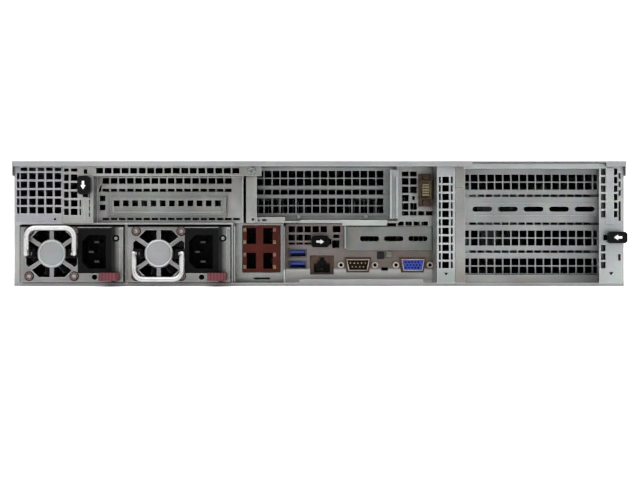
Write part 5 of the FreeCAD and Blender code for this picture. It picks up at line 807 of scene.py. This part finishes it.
def memory_chips():
    """Black memory chips on both faces of every module: eight small blocks in a row, with a gap between
    the fourth and the fifth."""
    first, last = low("memory_modules"), high("memory_modules")
    chip = cuboid(-0.45, 0.45, -4.6, 4.6, 0, 9.0)
    middle = (first[1] + last[1]) / 2
    places = []
    for bank in MEMORY_BANKS:
        for i in range(4):
            for face in (-1, 1):
                places += [(bank + i * MEMORY_PITCH + face * 2.45, middle + (k - 4) * 13.6, 22.0)
                           for k in range(9) if k != 4]
    piece("memory_chips", "chassis", CHIP, [copies(chip, places)])


def board_capacitors():
    """Polymer capacitors beside the processor sockets: cans with a groove, turned from nine points."""
    can = upright([(0.1, 0.0), (2.9, 0.0), (3.1, 0.4), (3.1, 1.2), (2.8, 1.6), (3.1, 2.0), (3.1, 7.2),
                   (2.7, 7.7), (0.1, 7.7)], 14)
    places = [(x + i * 8.0, y, 7.5) for x in (-96, 42) for i in range(9) for y in (62.0, -44.0)]
    piece("board_capacitors", "chassis", FIN, [copies(can, places)], True)


for side, left, up in zip(SIDES, PSU_LEFTS, (True, False)):
    bail_handle(side, left, up)
    grille_hub(side, left)
    screw_seats(side, left)
    status_lens(side, left)
for name, turn in (("left_latch", 3), ("middle_latch", 0), ("right_latch", 2)):
    latch_arrow(name, turn)
display_insert()
network_contacts()
port_rims_and_gap_shade()
side_port_contacts()
cover_rivets()
slot_films()
memory_chips()
board_capacitors()


# ---------------------------------------------------------------- floor, light and camera
def paper_sweep():
    """White floor that curves up behind: straight, a quarter circle of 1.4 metres, straight."""
    a = np.linspace(0, math.pi / 2, 24)
    start, far, bend, height, half = -7.0, 3.2, 1.4, 6.0, 9.0
    y = np.concatenate([[start], far + bend * np.sin(a), [far + bend]])
    z = np.concatenate([[0.0], bend * (1 - np.cos(a)), [height]])
    x = np.array([-half, half])
    points = np.stack([np.repeat(x[None], len(y), 0), np.repeat(y[:, None], 2, 1),
                       np.repeat(z[:, None], 2, 1)], -1).reshape(-1, 3)
    mesh = bpy.data.meshes.new("paper_sweep")
    mesh.from_pydata(points, [], grid_faces(len(y), 2, closed=False))
    mesh.polygons.foreach_set("use_smooth", [True] * len(mesh.polygons))
    mesh.materials.append(PAPER)
    made = bpy.data.objects.new("paper_sweep", mesh)
    bpy.context.scene.collection.objects.link(made)


def softbox(name, place, aim, width, height, power):
    """A rectangular soft light turned towards a point."""
    light = bpy.data.lights.new(name, "AREA")
    light.shape = "RECTANGLE"
    light.size, light.size_y = width, height
    light.energy = power
    made = bpy.data.objects.new(name, light)
    made.location = place
    towards = Vector(aim) - Vector(place)
    made.rotation_euler = towards.to_track_quat("-Z", "Y").to_euler()
    bpy.context.scene.collection.objects.link(made)


def studio():
    """Soft light from above, from both sides of the rear, on the front and on the sweep; the world is pale
    above and dim behind the viewer."""
    softbox("top_light", (0, -0.7, 2.4), (0, 0, 0), 4.2, 3.4, 105)
    softbox("rear_left_light", (-1.6, -1.7, 1.5), (0, -0.3, 0), 2.2, 1.8, 26)
    softbox("rear_right_light", (1.9, -1.3, 0.9), (0, -0.3, 0), 1.6, 1.2, 16)
    softbox("front_light", (0.6, 2.4, 1.5), (0, 0.2, 0), 2.6, 2.0, 36)
    softbox("backdrop_light", (0, 2.4, 2.6), (0, 4.6, 1.2), 4.0, 1.6, 120)
    world = bpy.data.worlds.new("studio")
    bpy.context.scene.world = world
    world.use_nodes = True
    tree = world.node_tree
    ray = add(tree, "ShaderNodeTexCoord").outputs["Generated"]
    parts = add(tree, "ShaderNodeSeparateXYZ", {0: ray}).outputs
    sky = blend(tree, spread(tree, parts["Z"], -0.3, 0.7, 0.0, 1.0), "#a8a49e", "#f4f6fa")
    behind = spread(tree, parts["Y"], -1.0, 0.1, 0.72, 0.0)
    tree.links.new(blend(tree, behind, sky, "#1c1c1d"), tree.nodes["Background"].inputs[0])
    tree.nodes["Background"].inputs[1].default_value = 0.9


def camera():
    """Level view of the rear from 0.75 metres behind it."""
    distance, height = 0.75, 0.0328
    lens = bpy.data.cameras.new("camera")
    lens.sensor_width, lens.lens = 36.0, 59.2
    lens.clip_start = 0.02
    made = bpy.data.objects.new("camera", lens)
    made.location = (0.0007, REAR * MM - distance, height)
    made.rotation_euler = (math.pi / 2, 0, 0)
    bpy.context.scene.collection.objects.link(made)
    bpy.context.scene.camera = made
    bpy.context.scene.view_settings.view_transform = "Standard"


paper_sweep()
studio()
camera()
